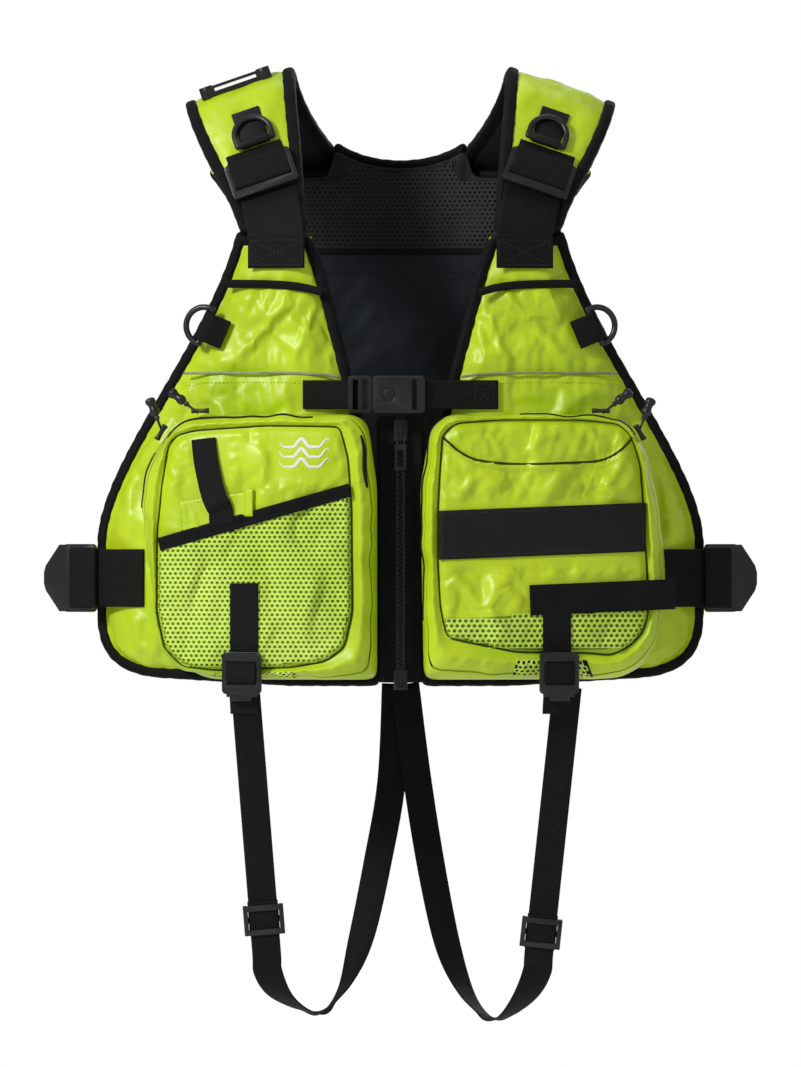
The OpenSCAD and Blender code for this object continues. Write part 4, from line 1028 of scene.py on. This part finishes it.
def wall_point(key, angle, q):
    """Pocket wall from the face seam (q = 0) to the panel (q = 1).

    With phi = q * 90 degrees the wall stands out from the seam by sin(phi)^0.62 of the way to the
    base outline and falls by cos(phi)^0.62 of the depth, so it rolls over in a soft welt.
    """
    seed = 300 if key == "r" else 330
    inner, outer = radius_at(FACE[key], angle, 7), radius_at(BASE[key], angle, 16)
    outer = np.maximum(outer, inner + 4.0)
    phi = np.clip(q, 0, 1) * np.pi / 2
    out = np.sin(phi) ** 0.62
    fall = np.cos(phi) ** 0.62
    run = q * WALL_RUN
    around = angle * 105
    broad = ripple(around + 4 * np.sin(3 * angle), seed, (62, 37, 23), 105 * 2 * np.pi)
    small = ripple(around * 1.3, seed + 1, (19, 11), 105 * 1.3 * 2 * np.pi)
    wrinkle = (1.9 * broad * np.sin(np.pi * np.clip(q * 1.1, 0, 1))
               + 1.2 * small * np.exp(-(((q - 0.14) / 0.12) ** 2)))
    reach = inner + (outer - inner) * out + wrinkle * (1 - np.exp(-run / 5))
    reach = np.minimum(reach, np.maximum(outer, inner + 5) + 1.5)
    x, z = FACE_MID[0] + reach * np.cos(angle), FACE_MID[1] + reach * np.sin(angle)
    welt = (2.4 * np.exp(-(((run - 6) / 4) ** 2))
            - (SEAM_GROOVE + 2.4 * np.exp(-((6 / 4) ** 2))) * np.exp(-((run / 2.4) ** 2)))
    depth = LID_R - POCKET_BASE_R
    return on_curve(x, z, POCKET_BASE_R + depth * fall + welt * (fall > 0.3)
                    + 0.5 * wrinkle * fall * (1 - np.exp(-run / 4)))


# A pocket's face is a square grid; the zip runs round the wall at a share of the way to the panel.
SQ_A, SQ_B = np.meshgrid(*[np.linspace(-1, 1, FACE_STEPS)] * 2, indexing="ij")
RIM_ANGLE = np.arctan2(border(SQ_B) * FACE_HALF[1], border(SQ_A) * FACE_HALF[0])
ZIP_SHARE = 0.46


def slant(x):
    """Height of the slanted band's lower edge, rising towards the zip."""
    return -397.0 + 46.0 * (210.0 - x) / 162.0


def pocket_face(key, side):
    """The lid of a pocket: face cloth, the rolled rim as far as the zip, and a flat lining behind."""
    flat = face_points(key, SQ_A, SQ_B)
    x, z = flat[..., 0], flat[..., 1]
    top = slant(x) if key == "r" else -456 + 0.06 * np.clip(x - 60, 0, None)
    under = 1.9 * np.clip((top - z) / 5, 0, 1) * np.clip((edge_distance(key, x, z) - 1.5) / 4, 0, 1)
    face = on_curve(x, z, face_height(key, x, z) - under)
    rim = wall_point(key, RIM_ANGLE[:, None], np.linspace(0, ZIP_SHARE, 9)[None, :])
    share = np.maximum(np.abs(SQ_A), np.abs(SQ_B))[..., None]
    angle = np.arctan2(SQ_B * FACE_HALF[1], SQ_A * FACE_HALF[0])
    at_zip = wall_point(key, angle, np.full_like(angle, ZIP_SHARE))
    reach = np.linalg.norm(at_zip[..., [0, 2]] - FACE_MID, axis=-1, keepdims=True)
    ray = np.stack([np.cos(angle), np.sin(angle)], -1)
    flat_in = FACE_MID + ray * reach * share
    zip_r = np.hypot(at_zip[..., 0], at_zip[..., 1] - ARC_Y)
    inner_r = (LID_R - 6.2) + (zip_r - LID_R + 6.2) * share[..., 0] ** 8
    lining = on_curve(flat_in[..., 0], flat_in[..., 1], inner_r)
    rim[:, 0], rim[:, -1] = border(face), border(lining)
    return [mirrored(s, side) for s in (face, (rim, None, True, False), lining)]


def pocket_wall(key, side):
    """The pocket's wall from just under the zip down to the panel."""
    q = np.linspace(ZIP_SHARE + 0.03, 1.0, WALL_STEPS)
    return [mirrored((wall_point(key, RIM_ANGLE[:, None], q[None, :]), None, True, False), side)]


def wall_line(key, side, q, start, end, width, n=90):
    """A dark line along a pocket's wall between two angles in degrees, tapering to both ends."""
    angle = np.radians(np.linspace(start, end, n))
    path = wall_point(key, angle, np.full(n, q))
    out = unit(path - np.array([FACE_MID[0], -70.0, FACE_MID[1]]))
    along = unit(np.gradient(path, axis=0))
    out = unit(out - (out * along).sum(-1, keepdims=True) * along)
    taper = np.sin(np.pi * np.linspace(0.03, 0.97, n)) ** 0.4
    section = rounded_section(width, 1.6, 3.0, 12)[None] * np.stack([taper, np.ones(n)], 1)[:, None]
    return mirrored(carried(path, unit(np.cross(along, out)), out, section), side)


def face_held(key):
    """Held test of a pocket lid: its lining and rim, the seam, and wherever a trim or mesh lies on it."""
    seam = looped(soften(resample(FACE[key], 120, True), 4, True))

    def test(points):
        x, z = np.abs(points[:, 0]), points[:, 2]
        held = np.hypot(x, ARC_Y - points[:, 1]) < LID_R - 5
        held |= ~inside(x, z, FACE[key]) | (distance_to(np.stack([x, z], -1), seam) < 5)
        held |= calm(x, z, FACE_TRIMS[key]) < 0.4
        if key == "l":
            return held | (z < -448) | (distance_to(np.stack([x, z], -1), SMILE) < 5)
        return held | (z < slant(x) + 14) | ((z < -342) & (x > 122))
    return test


WALL_LINES = {"r": [(0.50, 50, 113, 2.2), (0.62, 18, 42, 4.0), (0.34, 133, 152, 5.0)],
              "l": [(0.50, 50, 100, 2.2), (0.66, 128, 212, 3.4)]}

for side, key in ((-1, "r"), (1, "l")):
    lid = "pocket_lid_" + key
    face_piece = build("pocket_face_" + key, pocket_face(key, side), LIME, lid, [lid], levels=1)
    settle(face_piece, face_held(key), growth=0.06, pressure=0.35, cap=3.0)
    build("pocket_wall_cloth_" + key, pocket_wall(key, side), LIME, "vest",
          ["pocket_shell_" + key], levels=1, thick=1.4)
    for number, (q, start, end, width) in enumerate(WALL_LINES[key]):
        build("pocket_zip_%s_%d" % (key, number), [wall_line(key, side, q, start, end, width)], BLACK_CLOTH, "vest")
    # Painted shade: a thin dark green strip laid in the groove of the face seam.
    angle = np.linspace(-np.pi, np.pi, 400, endpoint=False)
    seam = radius_at(FACE[key], angle, 7)
    seam_path = on_curve(FACE_MID[0] + seam * np.cos(angle), FACE_MID[1] + seam * np.sin(angle),
                         LID_R - SEAM_GROOVE + 1.5)
    build("pocket_seam_shadow_" + key, [mirrored(web(seam_path, outward(seam_path), 1.5, 1.3, True), side)], SEAM_SHADOW, lid)


def laid(key, side, points, lift, n=60):
    """A line laid on a pocket's face, raised by `lift`, with its outward normals."""
    flat = resample(points, n)
    path = on_curve(flat[:, 0], flat[:, 1], face_height(key, flat[:, 0], flat[:, 1]) + lift)
    return path * [side, 1, 1], outward(path) * [side, 1, 1]


def soft_height(key, x, z, width=9.0):
    """The face height over a small neighbourhood, nearer its greatest, for trims that bridge the creases."""
    steps = [(-1, 0), (1, 0), (0, -1), (0, 1), (0, 0)]
    near = np.stack([face_height(key, x + a * width, z + b * width) for a, b in steps])
    return 0.4 * near.mean(0) + 0.6 * near.max(0)


def face_sheet(key, side, low, high, slope, lift, thick, nu=60, nv=18, corner=0.0):
    """A flat trim on a pocket's face: a thin slab whose edges follow the softened face.

    It spans x from low to high in the first place and z in the second, plus slope times x.
    """
    u, v = np.linspace(0, 1, nu)[:, None], np.linspace(0, 1, nv)[None]
    x = low[0] + (high[0] - low[0]) * u + 0 * v
    z = low[1] + (high[1] - low[1]) * v + slope * (x - low[0])
    r = soft_height(key, x, z) + lift
    edge = np.minimum(np.minimum(u, 1 - u) * (high[0] - low[0]), np.minimum(v, 1 - v) * (high[1] - low[1]))
    top = r + thick * (1 - 0.55 * np.exp(-(edge / 0.8) ** 2))
    return [mirrored(s, side) for s in closed_pair(on_curve(x, z, top), on_curve(x, z, r - 0.6))]


R_BODY, L_BODY = "pocket_lid_r", "pocket_lid_l"


def in_face(key, x, z, inset):
    """True inside a pocket face's seam, at least `inset` from it."""
    return inside(x, z, FACE[key]) & (edge_distance(key, x, z) > inset)


def mesh_place(key, side, lift):
    """A function that lays knit on a pocket's face, `lift` off it."""
    def place(x, z, raised):
        return on_curve(x, z, face_height(key, x, z) + lift + raised) * [side, 1, 1]
    return place


def below_band(x, z):
    return in_face("r", x, z, 2.2) & (z < slant(x) + 3)


build("pocket_mesh_knit_r", holed_cloth((40, -500), (212, -345), 4.5, 0.62, mesh_place("r", -1, 1.3), below_band),
      LIME_MESH, R_BODY, ["pocket_mesh_r"], thick=0.5)
# Painted shade: a dark green sheet just under the knit, so its holes read as shadowed.
shade_x, shade_z = np.moveaxis(face_points("r", SQ_A * 0.97, SQ_B * 0.97), -1, 0)
shade_z = np.minimum(shade_z, slant(shade_x) + 4)
shade = on_curve(shade_x, shade_z, face_height("r", shade_x, shade_z) + 0.5)
build("pocket_mesh_shade_r", [mirrored(shade, -1)], LIME_SHADE, R_BODY, thick=0.2)


def slanted_band():
    """Tape along the knit's slanted upper edge."""
    x = np.linspace(207, 43, 80)
    path = on_curve(x, slant(x) + 5.5, soft_height("r", x, slant(x) + 5.5, 6) + 1.9)
    return web(path * [-1, 1, 1], outward(path) * [-1, 1, 1], 11.5, 1.9)


build("pocket_band_tape", [slanted_band()], TAPE, R_BODY, ["pocket_band"])


def key_strap():
    """A folded web above a strip of hook tape; the route's third value is its height off the face."""
    line = smooth_route([(169, -300, 1.4, 0), (167, -318, 2.2, 0), (163, -338, 3.2, 0), (160, -349, 5.0, 0),
                         (157, -356, 6.2, 0), (154, -362, 3.6, 0), (153.5, -371, 2.0, 0), (153, -380, 0.9, 0)], 7)
    path = on_curve(line[:, 0], line[:, 1], soft_height("r", line[:, 0], line[:, 1]) + line[:, 2])
    return web(path * [-1, 1, 1], outward(path) * [-1, 1, 1], 22, WEB_THICK)


strap("key_strap_web", [key_strap()], R_BODY, ["key_strap"])
build("slip_pocket_r", face_sheet("r", -1, (128, -372), (190, -345), -0.14, 0.5, 1.4, 40, 20)
      + face_sheet("r", -1, (126, -367), (134, -343), 0.0, 0.8, 3.0, 14, 24), LIME, R_BODY, levels=1)
slip_path, slip_out = laid("r", -1, [(188, -379), (188, -355.5), (136, -348.5)], 2.4, 70)
threads("slip_threads_r", stitches(slip_path, slip_out, 2.2, 1.2, 0.45), R_BODY, lime=True)


def wave_motif():
    """Three printed crests: sine lines whose crest leans and whose width tapers to both ends."""
    sheets = []
    for k in range(3):
        t = np.linspace(0, 1, 70)
        x = 60 + 44 * t
        z = -322 + k * 8.5 + 3.4 * np.sin(4 * np.pi * t + 0.8) + 1.2 * np.sin(8 * np.pi * t)
        path = on_curve(x, z, face_height("r", x, z) + 0.25)
        width = (0.15 + 1.3 * np.sin(np.pi * t) ** 0.7)[:, None, None]
        along = unit(np.gradient(path, axis=0))
        out = outward(path)
        side = unit(np.cross(along, out))
        section = rounded_section(2.0, 0.5, 4.0, 10)[None] * np.concatenate([width, np.ones_like(width)], 2)
        sheets.append(mirrored(carried(path, side, out, section), -1))
    return sheets


build("wave_print", wave_motif(), WHITE_PRINT, R_BODY)

# wearer's left pocket: patch, cross web, slit and knitted strip
build("hook_patch", face_sheet("l", 1, (33, -404), (211, -362), 0.04, 0.7, 2.0, 90, 26), BLACK_CLOTH, L_BODY,
      ["pocket_patch"])
patch_line = [(36, -401), (36, -365), (208, -358), (208, -394), (36, -401)]
flat = resample(patch_line, 260)
patch_path = on_curve(flat[:, 0], flat[:, 1], soft_height("l", flat[:, 0], flat[:, 1]) + 2.7)
threads("patch_threads", stitches(patch_path, outward(patch_path), 2.2, 1.2, 0.45), L_BODY)


def cross_web():
    """Web from the lock over the pocket's side: along the face, then bending back as a parabola."""
    x = np.linspace(111, 236, 60)
    r = np.where(x < 208, soft_height("l", np.minimum(x, 206), 0 * x - 436) + 2.0, 0)
    r = np.where(x < 200, r, LID_R + 5.2 - 0.018 * np.clip(x - 216, 0, None) ** 2)
    path = on_curve(x, -438.5 + 0.04 * (x - 111), soften(r[:, None], 12)[:, 0])
    return web(path, outward(path), 26, WEB_THICK)


strap("cross_web_strap", [cross_web()], L_BODY, ["cross_web"])
slit_path, slit_out = laid("l", 1, SMILE, 1.7, 120)
build("slit_shadow", [web(slit_path, slit_out, 2.0, 1.2)], SEAM_SHADOW, L_BODY)
slit_row, slit_row_out = laid("l", 1, SMILE - [0, 3.4], 1.8, 120)
threads("slit_threads", stitches(slit_row, slit_row_out, 2.0, 1.2, 0.45), L_BODY, lime=True)


def strip_top(x, z=-454):
    """The knitted strip's upper edge: level, rising slightly away from the zip."""
    return z + 0.06 * np.clip(x - 60, 0, None)


def in_strip(x, z):
    return in_face("l", x, z, 1.0) & (z > -481) & (z < strip_top(x))


build("pocket_mesh_knit_l", holed_cloth((34, -484), (218, -438), 4.9, 0.68, mesh_place("l", 1, 1.3), in_strip),
      LIME_MESH, L_BODY, ["pocket_mesh_l"], thick=0.5)
# Painted shade: a dark green sheet under the knitted strip, so its holes read as shadowed.
strip_u, strip_v = np.linspace(0, 1, 60)[:, None], np.linspace(0, 1, 10)[None]
strip_x = 38 + 170 * strip_u + 0 * strip_v
strip_low = np.interp(strip_x, [38, 60, 100, 170, 190, 208], [-464, -474, -481, -481, -479, -466])
strip_z = strip_low + (strip_top(strip_x) - strip_low) * strip_v
strip = on_curve(strip_x, strip_z, face_height("l", strip_x, strip_z) + 0.4)
build("pocket_mesh_shade_l", [strip], LIME_SHADE, L_BODY, thick=0.2)


def drain_mesh(key, side, x_low, x_high):
    """Black-backed mesh in the bottom wall beside the lock, on the wall's own shape."""
    def place(x, z, raised):
        angle = np.arctan2(-104.0, x - FACE_MID[0])
        point = wall_point(key, np.broadcast_to(angle, np.broadcast(x, z).shape), np.clip(z, 0.03, 0.6))
        away = unit(point - np.array([FACE_MID[0], -60.0, FACE_MID[1]]))
        return (point + away * (raised + 0.9)) * [side, 1, 1]
    cells = holed_cloth((x_low, 0), (x_high, 17), 4.6, 0.66, lambda x, z, raised: place(x, 0.05 + z / 36, raised),
                        lambda x, z: x == x)
    u, v = np.meshgrid(np.linspace(x_low, x_high, 30), np.linspace(0.06, 0.52, 8), indexing="ij")
    build("drain_mesh_" + key, cells, LIME_MESH, "pocket_lid_" + key, thick=0.4)
    build("drain_back_" + key, [place(u, v, -0.5)], BLACK_CLOTH, "pocket_lid_" + key, thick=0.2)


drain_mesh("r", -1, 92, 158)
drain_mesh("l", 1, 98, 162)

LOCK_TOP, LOCK_LOW = -470.0, -490.0


def compression_web(side, key, high):
    """Web down a pocket's middle: on the face as far as the lock, then standing off towards its tail.

    Below the lock the tail sways by a sine of the height.
    """
    z = np.linspace(high, -536, 70)
    x = np.full_like(z, LOCK_X)
    face_r = soft_height(key, x, np.maximum(z, LOCK_TOP), 7) + 1.9
    down = np.clip((LOCK_TOP - z) / (LOCK_TOP - LOCK_LOW), 0, 1)
    r = np.where(z > LOCK_TOP, face_r, face_r[z > LOCK_TOP][-1] * (1 - down) + (LID_R + 2.6) * down)
    path = on_curve(x, z, r + 0.5)
    path = path + outward(path) * (1.2 * np.sin(np.clip((-512 - z) / 24, 0, 1) * 5))[:, None]
    return mirrored(web(path, outward(path), NARROW_WEB, WEB_THICK), side)


def lock_wrap(side):
    """Web folded over a pocket lock's bars, each place given by its height and its lift off the face."""
    over = np.array([(-490, 4.5), (-491.6, 9.0), (-493.5, 11.6), (-497, 12.2), (-505, 12.2), (-508.5, 11.6),
                     (-510.4, 9.0), (-512, 4.5)])
    over = resample(over, 30)
    middle = on_curve(np.full(30, LOCK_X), over[:, 0], TRIM_R)
    away = outward(middle)
    step = np.gradient(over, axis=0)
    face = unit(-step[:, :1] * away + step[:, 1:] * [0.0, 0.0, 1.0])
    return mirrored(web(middle + away * over[:, 1:], face, 26.0, 1.6), side)


for side, key, high in ((-1, "r", -424.0), (1, "l", -434.0)):
    strap("pocket_web_strap_" + key, [compression_web(side, key, high)], "pocket_lid_" + key, ["pocket_web_" + key])
    moulded("pocket_lock_" + key, 0.7)
    strap("pocket_fold_" + key, [lock_wrap(side)], BODY_OF["pocket_lock_" + key])

# ---------- webbing on shoulders, chest, sides and waist ----------
STRAP_SET = 4.0  # the shoulder web's middle, across the pad from the pad's own


def leg_point(u, w, lift):
    """A place on the front leg of the pad, `lift` off its face."""
    y = -98 + (w + 125) * np.tan(FRONT_LEAN)
    c, s = np.cos(PAD_SLOPE), np.sin(PAD_SLOPE)
    y, z = y - lift * np.cos(FRONT_LEAN), w + lift * np.sin(FRONT_LEAN)
    return np.stack(np.broadcast_arrays(PAD_MID_X + u * c + z * s, y, -u * s + z * c), -1)


def shoulder_strap(side):
    """Anchor web on the pad, the free run below the lock and the end sewn to the front panel."""
    w = np.linspace(-50, -92, 16)
    upper = leg_point(STRAP_SET, w, 1.2)
    n_pad = leg_point(STRAP_SET, w, 2.2) - leg_point(STRAP_SET, w, 1.2)
    z = np.linspace(-124, -153, 14)
    lower = on_curve(np.full_like(z, 107.0), z, WEB_R + 0.4)
    n_low = outward(lower)
    t = np.linspace(0, 1, 16)[1:-1, None]
    middle = upper[-1] * (1 - t) + lower[0] * t - [0, 2.0, 0] * np.sin(np.pi * t)
    n_mid = n_pad[-1] * (1 - t) + n_low[0] * t
    path, out = np.vstack([upper, middle, lower]), np.vstack([n_pad, n_mid, n_low])
    return mirrored(web(path, out, BROAD_WEB, WEB_THICK), side)


strap("shoulder_strap_webs", [shoulder_strap(side) for side in (1, -1)], stands_for=["shoulder_webs"])


def crossed_box(x0, z0, x1, z1, n, lift, off, size):
    """Stitched box with both diagonals, as sewn through the end of a web: threads stand `off` the curve."""
    rows = []
    for corners in ([(x0, z0), (x0, z1), (x1, z1), (x1, z0), (x0, z0)], [(x0, z0), (x1, z1)], [(x1, z0), (x0, z1)]):
        flat = resample(corners, n)
        path = on_curve(flat[:, 0], flat[:, 1], WEB_R + lift)
        rows += stitches(path + outward(path) * off, outward(path), *size)
    return rows


threads("shoulder_strap_threads", [mirrored(row, side) for side in (1, -1)
                                   for row in crossed_box(85, -129, 129, -150, 120, 1.5, 0.0, (2.4, 1.2, 0.5))])


def shoulder_fold(side):
    """Web wrapped over the lock's top bar and down its face as far as the lower slot."""
    w = np.array([-58.6, -58.8, -59.8, -62.0, -66.0, -72.0, -78.0, -81.5, -83.2, -83.8])
    rise = np.array([4.8, 6.8, 8.0, 8.4, 8.4, 8.5, 8.4, 7.6, 5.6, 3.0])
    flat = resample(np.stack([w, rise], 1), 40)
    path = leg_point(STRAP_SET, flat[:, 0], flat[:, 1])
    step = np.gradient(flat, axis=0)
    ahead = leg_point(STRAP_SET, flat[:, 0] + 1, flat[:, 1]) - path
    face = leg_point(STRAP_SET, flat[:, 0], flat[:, 1] + 1) - path
    return mirrored(web(path, unit(step[:, 1:] * ahead - step[:, :1] * face), 51.4, 1.6), side)


for side, key in ((1, "l"), (-1, "r")):
    strap("shoulder_fold_" + key, [shoulder_fold(side)], BODY_OF["shoulder_lock_" + key])
for key in "lr":
    moulded("shoulder_lock_" + key, 0.7)
    for ring in (moulded("shoulder_ring_" + key, 0), moulded("side_ring_" + key, 0)):
        girth = ring.modifiers.new("girth", "DISPLACE")
        girth.strength, girth.mid_level = 0.0006, 0.0
    moulded("waist_lock_" + key, 0.7)
moulded("shoulder_tabs", 0.3, BLACK_CLOTH)


def side_tab(side):
    """Padded tab beside the ring: up from the panel, over the ring's bar and round it."""
    t, g = np.arcsin(168.0 / (PANEL_R + 4.3)), np.radians(-24)
    middle = on_curve(np.array(168.0), np.array(-203.0), PANEL_R + 4.3)
    level, out = np.array([np.cos(t), np.sin(t), 0.0]), np.array([np.sin(t), -np.cos(t), 0.0])
    away = np.cos(g) * level - np.sin(g) * np.array([0.0, 0.0, 1.0])
    bend = np.radians(np.linspace(105, -110, 16))
    flat = np.vstack([[(-19, -2.6), (-15, -1.4), (-9, 1.4), (-4.6, 3.3)],
                      4.0 * np.stack([np.cos(bend), np.sin(bend)], 1)])
    flat = resample(flat, 36)
    step = np.gradient(flat, axis=0)
    path = middle + flat[:, :1] * away + flat[:, 1:] * out
    return mirrored(web(path, -step[:, 1:] * away + step[:, :1] * out, 25.5, 2.5), side)


strap("side_tab_webs", [side_tab(side) for side in (1, -1)], stands_for=["side_tabs"])
moulded("accessory_loop", 0.8)


def chest_strap(x_buckle, x_sewn, x_end, side):
    """Web from the buckle to the panel and along it, easing from the free run to the curve."""
    x = np.linspace(x_buckle, x_end, 50)
    panel_y = on_curve(x, 0 * x, WEB_R + 1.6)[:, 1]
    share = np.clip((x - x_buckle) / (x_sewn - x_buckle), 0, 1)
    y = np.where(share < 1, BUCKLE_Y + (np.interp(x_sewn, x, panel_y) - BUCKLE_Y) * share, panel_y)
    y = soften(y[:, None], 6)[:, 0]
    path = np.stack([x, y, np.full_like(x, CHEST_Z)], 1)
    out = np.stack([0 * x, -np.ones_like(x), 0 * x], 1)
    return mirrored(web(path, out, NARROW_WEB, WEB_THICK), side)


strap("chest_strap_l", [chest_strap(16, 52, 84, 1)], stands_for=["chest_web_l"])
strap("chest_strap_r", [chest_strap(36, 60, 84, -1)], BODY_OF["chest_web_r"], ["chest_web_r"])
threads("chest_threads_l", crossed_box(64, CHEST_Z + 10, 80, CHEST_Z - 10, 60, 1.7, 0.9, (2.2, 1.1, 0.45)))
for node in ("chest_socket", "chest_plug", "prong_upper", "prong_lower"):
    moulded(node, 0.8 if node.startswith("chest") else 0.4)


def waist_strap(side):
    """Web sewn along the front panel, from its inner end to the waist lock."""
    x = np.linspace(222, 268, 30)
    path = on_curve(x, np.full_like(x, WAIST_Z), WEB_R)
    return mirrored(web(path, outward(path), BROAD_WEB, WEB_THICK), side)


strap("waist_strap_webs", [waist_strap(side) for side in (1, -1)], stands_for=["waist_webs"])


def waist_fold(side):
    """Web that lies over the lock's body and turns down into its outer slot."""
    t = np.arcsin(WAIST_LOCK_X / WEB_R)
    middle = on_curve(np.array(WAIST_LOCK_X), np.array(WAIST_Z), WEB_R + 0.4)
    along, face = np.array([np.cos(t), np.sin(t), 0.0]), np.array([np.sin(t), -np.cos(t), 0.0])
    run = np.array([-12.4, -12.2, -11.2, -8, -2, 4, 9, 12.2, 13.6, 13.8])
    rise = np.array([2.4, 4.6, 6.0, 6.4, 6.5, 6.5, 6.4, 5.6, 4.0, 1.5])
    flat = resample(np.stack([run, rise], 1), 40)
    path = middle + flat[:, :1] * along + flat[:, 1:] * face
    step = np.gradient(flat, axis=0)
    out = unit(-step[:, 1:] * along + step[:, :1] * face)
    return mirrored(web(path, out, 51.6, WEB_THICK), side)


for side, key in ((1, "l"), (-1, "r")):
    strap("waist_fold_" + key, [waist_fold(side)], BODY_OF["waist_lock_" + key])


def belt_path():
    """The belt from above: round the right side, along the back's curve, round the left side."""
    loop_r, web_r = 48.0, PANEL_R + 1.9
    loop_x = np.sqrt((web_r - loop_r) ** 2 - ARC_Y**2)
    meet = np.arctan2(ARC_Y, loop_x)
    one = np.radians(1)

    def arc(cx, cy, r, start, end, n):
        a = np.linspace(start, end, n)
        return np.stack([cx + r * np.cos(a), cy + r * np.sin(a)], 1)

    flat = np.vstack([arc(-loop_x, 0, loop_r - 0.8, np.radians(176) + meet, np.pi - meet, 30),
                      arc(0, -ARC_Y, web_r - 0.8, np.pi - one - meet, meet + one, 70),
                      arc(loop_x, 0, loop_r - 0.8, meet, np.radians(4) - meet, 30)])
    return np.column_stack([flat, np.full(len(flat), WAIST_Z)])


belt = belt_path()
belt_along = unit(np.gradient(belt, axis=0))
strap("waist_belt_web", [web(belt, np.cross(belt_along, [0.0, 0.0, -1.0]), BROAD_WEB, WEB_THICK)],
      stands_for=["waist_belt"])

# ---------- front zip ----------
def zip_tape(side):
    """A tape beside the teeth, waving very slightly in depth."""
    z = np.linspace(-508, -280, 60)
    path = np.stack([np.full_like(z, 11.2), ZIP_Y + 0.25 * ripple(z, 50 + side, (60, 30)), z], 1)
    return mirrored(web(path, np.broadcast_to([0.0, -1.0, 0.0], path.shape), 15.0, 1.2), side)


build("zip_tape_cloth", [zip_tape(side) for side in (1, -1)], TAPE, "vest", ["zip_tapes"])
moulded("zip_teeth", 0.25)
for node in ("zip_box", "zip_slider", "zip_pull"):
    moulded(node, 0.4)


def zip_flap(side):
    """The strip of black cloth under each tape, out to the panel's binding."""
    z = np.linspace(-508, -282, 40)
    path = np.stack([np.full_like(z, 13.5), np.full_like(z, ZIP_Y + 2.4), z], 1)
    return mirrored(web(path, np.broadcast_to([0.0, -1.0, 0.0], path.shape), 14.0, 1.0), side)


build("zip_flap_cloth", [zip_flap(side) for side in (1, -1)], BLACK_CLOTH, "vest")


def zip_tag(x, z, turn, lean):
    """A slider, its cord with a knot, and a waisted toggle: circles whose radius follows a profile."""
    t = np.arcsin(x / SHELL_R)
    origin, up = on_curve(np.array(x), np.array(z), SHELL_R), np.array([0.0, 0.0, 1.0])
    across, out = np.array([np.cos(t), np.sin(t), 0.0]), np.array([np.sin(t), -np.cos(t), 0.0])
    track, rise = across * np.cos(turn) - up * np.sin(turn), across * np.sin(turn) + up * np.cos(turn)
    body = origin + rise * 3 + np.linspace(-7, 7, 9)[:, None] * track
    waist = (1 - 0.3 * np.cos(np.linspace(-1, 1, 9) * 1.4))[:, None, None]
    slider = carried(body, np.tile(rise, (9, 1)), np.tile(out, (9, 1)), rounded_section(5, 8, 3.0, 14)[None] * waist)
    along = across * np.sin(lean) + up * np.cos(lean)
    at = np.array([2, 6, 10, 13, 14.5, 16, 17.2, 17.8, 19, 22, 25, 27.5, 30, 32.5, 33.7, 34])
    girth = np.array([1.2, 1.1, 1.1, 1.2, 2.4, 2.5, 1.6, 2.6, 3.8, 4.4, 3.3, 3.4, 4.7, 4.4, 2.8, 0.4])
    line = origin + at[:, None] * along + out * (1.2 * np.sin(at / 17 * np.pi))[:, None] * (at < 17)[:, None]
    side = unit(np.cross(along, out))
    toggle = carried(line, np.tile(side, (16, 1)), np.tile(out, (16, 1)),
                     rounded_section(2, 2, 2.0, 14)[None] * girth[:, None, None])
    return [slider, toggle]


TAG_SPOTS = {"top": (172.0, -279.0, 0.0, np.radians(54)),
             "side": (203.5, -296.0, np.arctan2(36 * np.cos(np.arcsin(203.5 / SHELL_R)), 22), np.radians(24))}
for spot, values in TAG_SPOTS.items():
    for side, key in ((1, "l"), (-1, "r")):
        node = "zip_tag_%s_%s" % (key, spot)
        build(node + "_toggle", [mirrored(s, side) for s in zip_tag(*values)], PLASTIC, BODY_OF[node],
              [node])


# ---------- floor and lights ----------
def pale_floor():
    """A flat pale floor well under the hanging straps."""
    mesh = bpy.data.meshes.new("pale_floor")
    mesh.from_pydata([(-6, -6, -1.3), (6, -6, -1.3), (6, 6, -1.3), (-6, 6, -1.3)], [], [(0, 1, 2, 3)])
    floor = bpy.data.objects.new("pale_floor", mesh)
    bpy.context.scene.collection.objects.link(floor)
    mesh.materials.append(Shader("pale_paper", (0.92, 0.92, 0.92), 0.9, Specular_IOR_Level=0.1).material)


def lamp(name, place, aim, size, power):
    """A soft square lamp of `size` metres and `power` watts, turned to its aim."""
    light = bpy.data.lights.new(name, "AREA")
    light.shape, light.size, light.energy = "SQUARE", size, power
    lit = bpy.data.objects.new(name, light)
    lit.location = place
    lit.rotation_euler = (Vector(aim) - Vector(place)).to_track_quat("-Z", "Y").to_euler()
    bpy.context.scene.collection.objects.link(lit)


def pale_room(strength=0.33):
    """White surroundings: even light of the given strength, seen by the camera as plain white."""
    world = bpy.data.worlds.new("pale_room")
    world.use_nodes = True
    nodes, links = world.node_tree.nodes, world.node_tree.links
    room = nodes["Background"]
    room.inputs["Color"].default_value = (1, 1, 1, 1)
    seen = nodes.new("ShaderNodeMapRange")
    seen.inputs["To Min"].default_value, seen.inputs["To Max"].default_value = strength, 1.0
    links.new(nodes.new("ShaderNodeLightPath").outputs["Is Camera Ray"], seen.inputs["Value"])
    links.new(seen.outputs["Result"], room.inputs["Strength"])
    bpy.context.scene.world = world


pale_floor()
pale_room()
lamp("key", (-1.9, -1.9, 1.1), (0, 0, -0.35), 0.6, 60)
lamp("fill", (2.2, -2.2, 0.2), (0, 0, -0.4), 1.8, 5)
lamp("top", (0.2, 0.4, 2.2), (0, 0, -0.3), 1.6, 12)
lamp("rear", (1.2, 2.6, 0.5), (0, 0.1, -0.35), 2.0, 14)
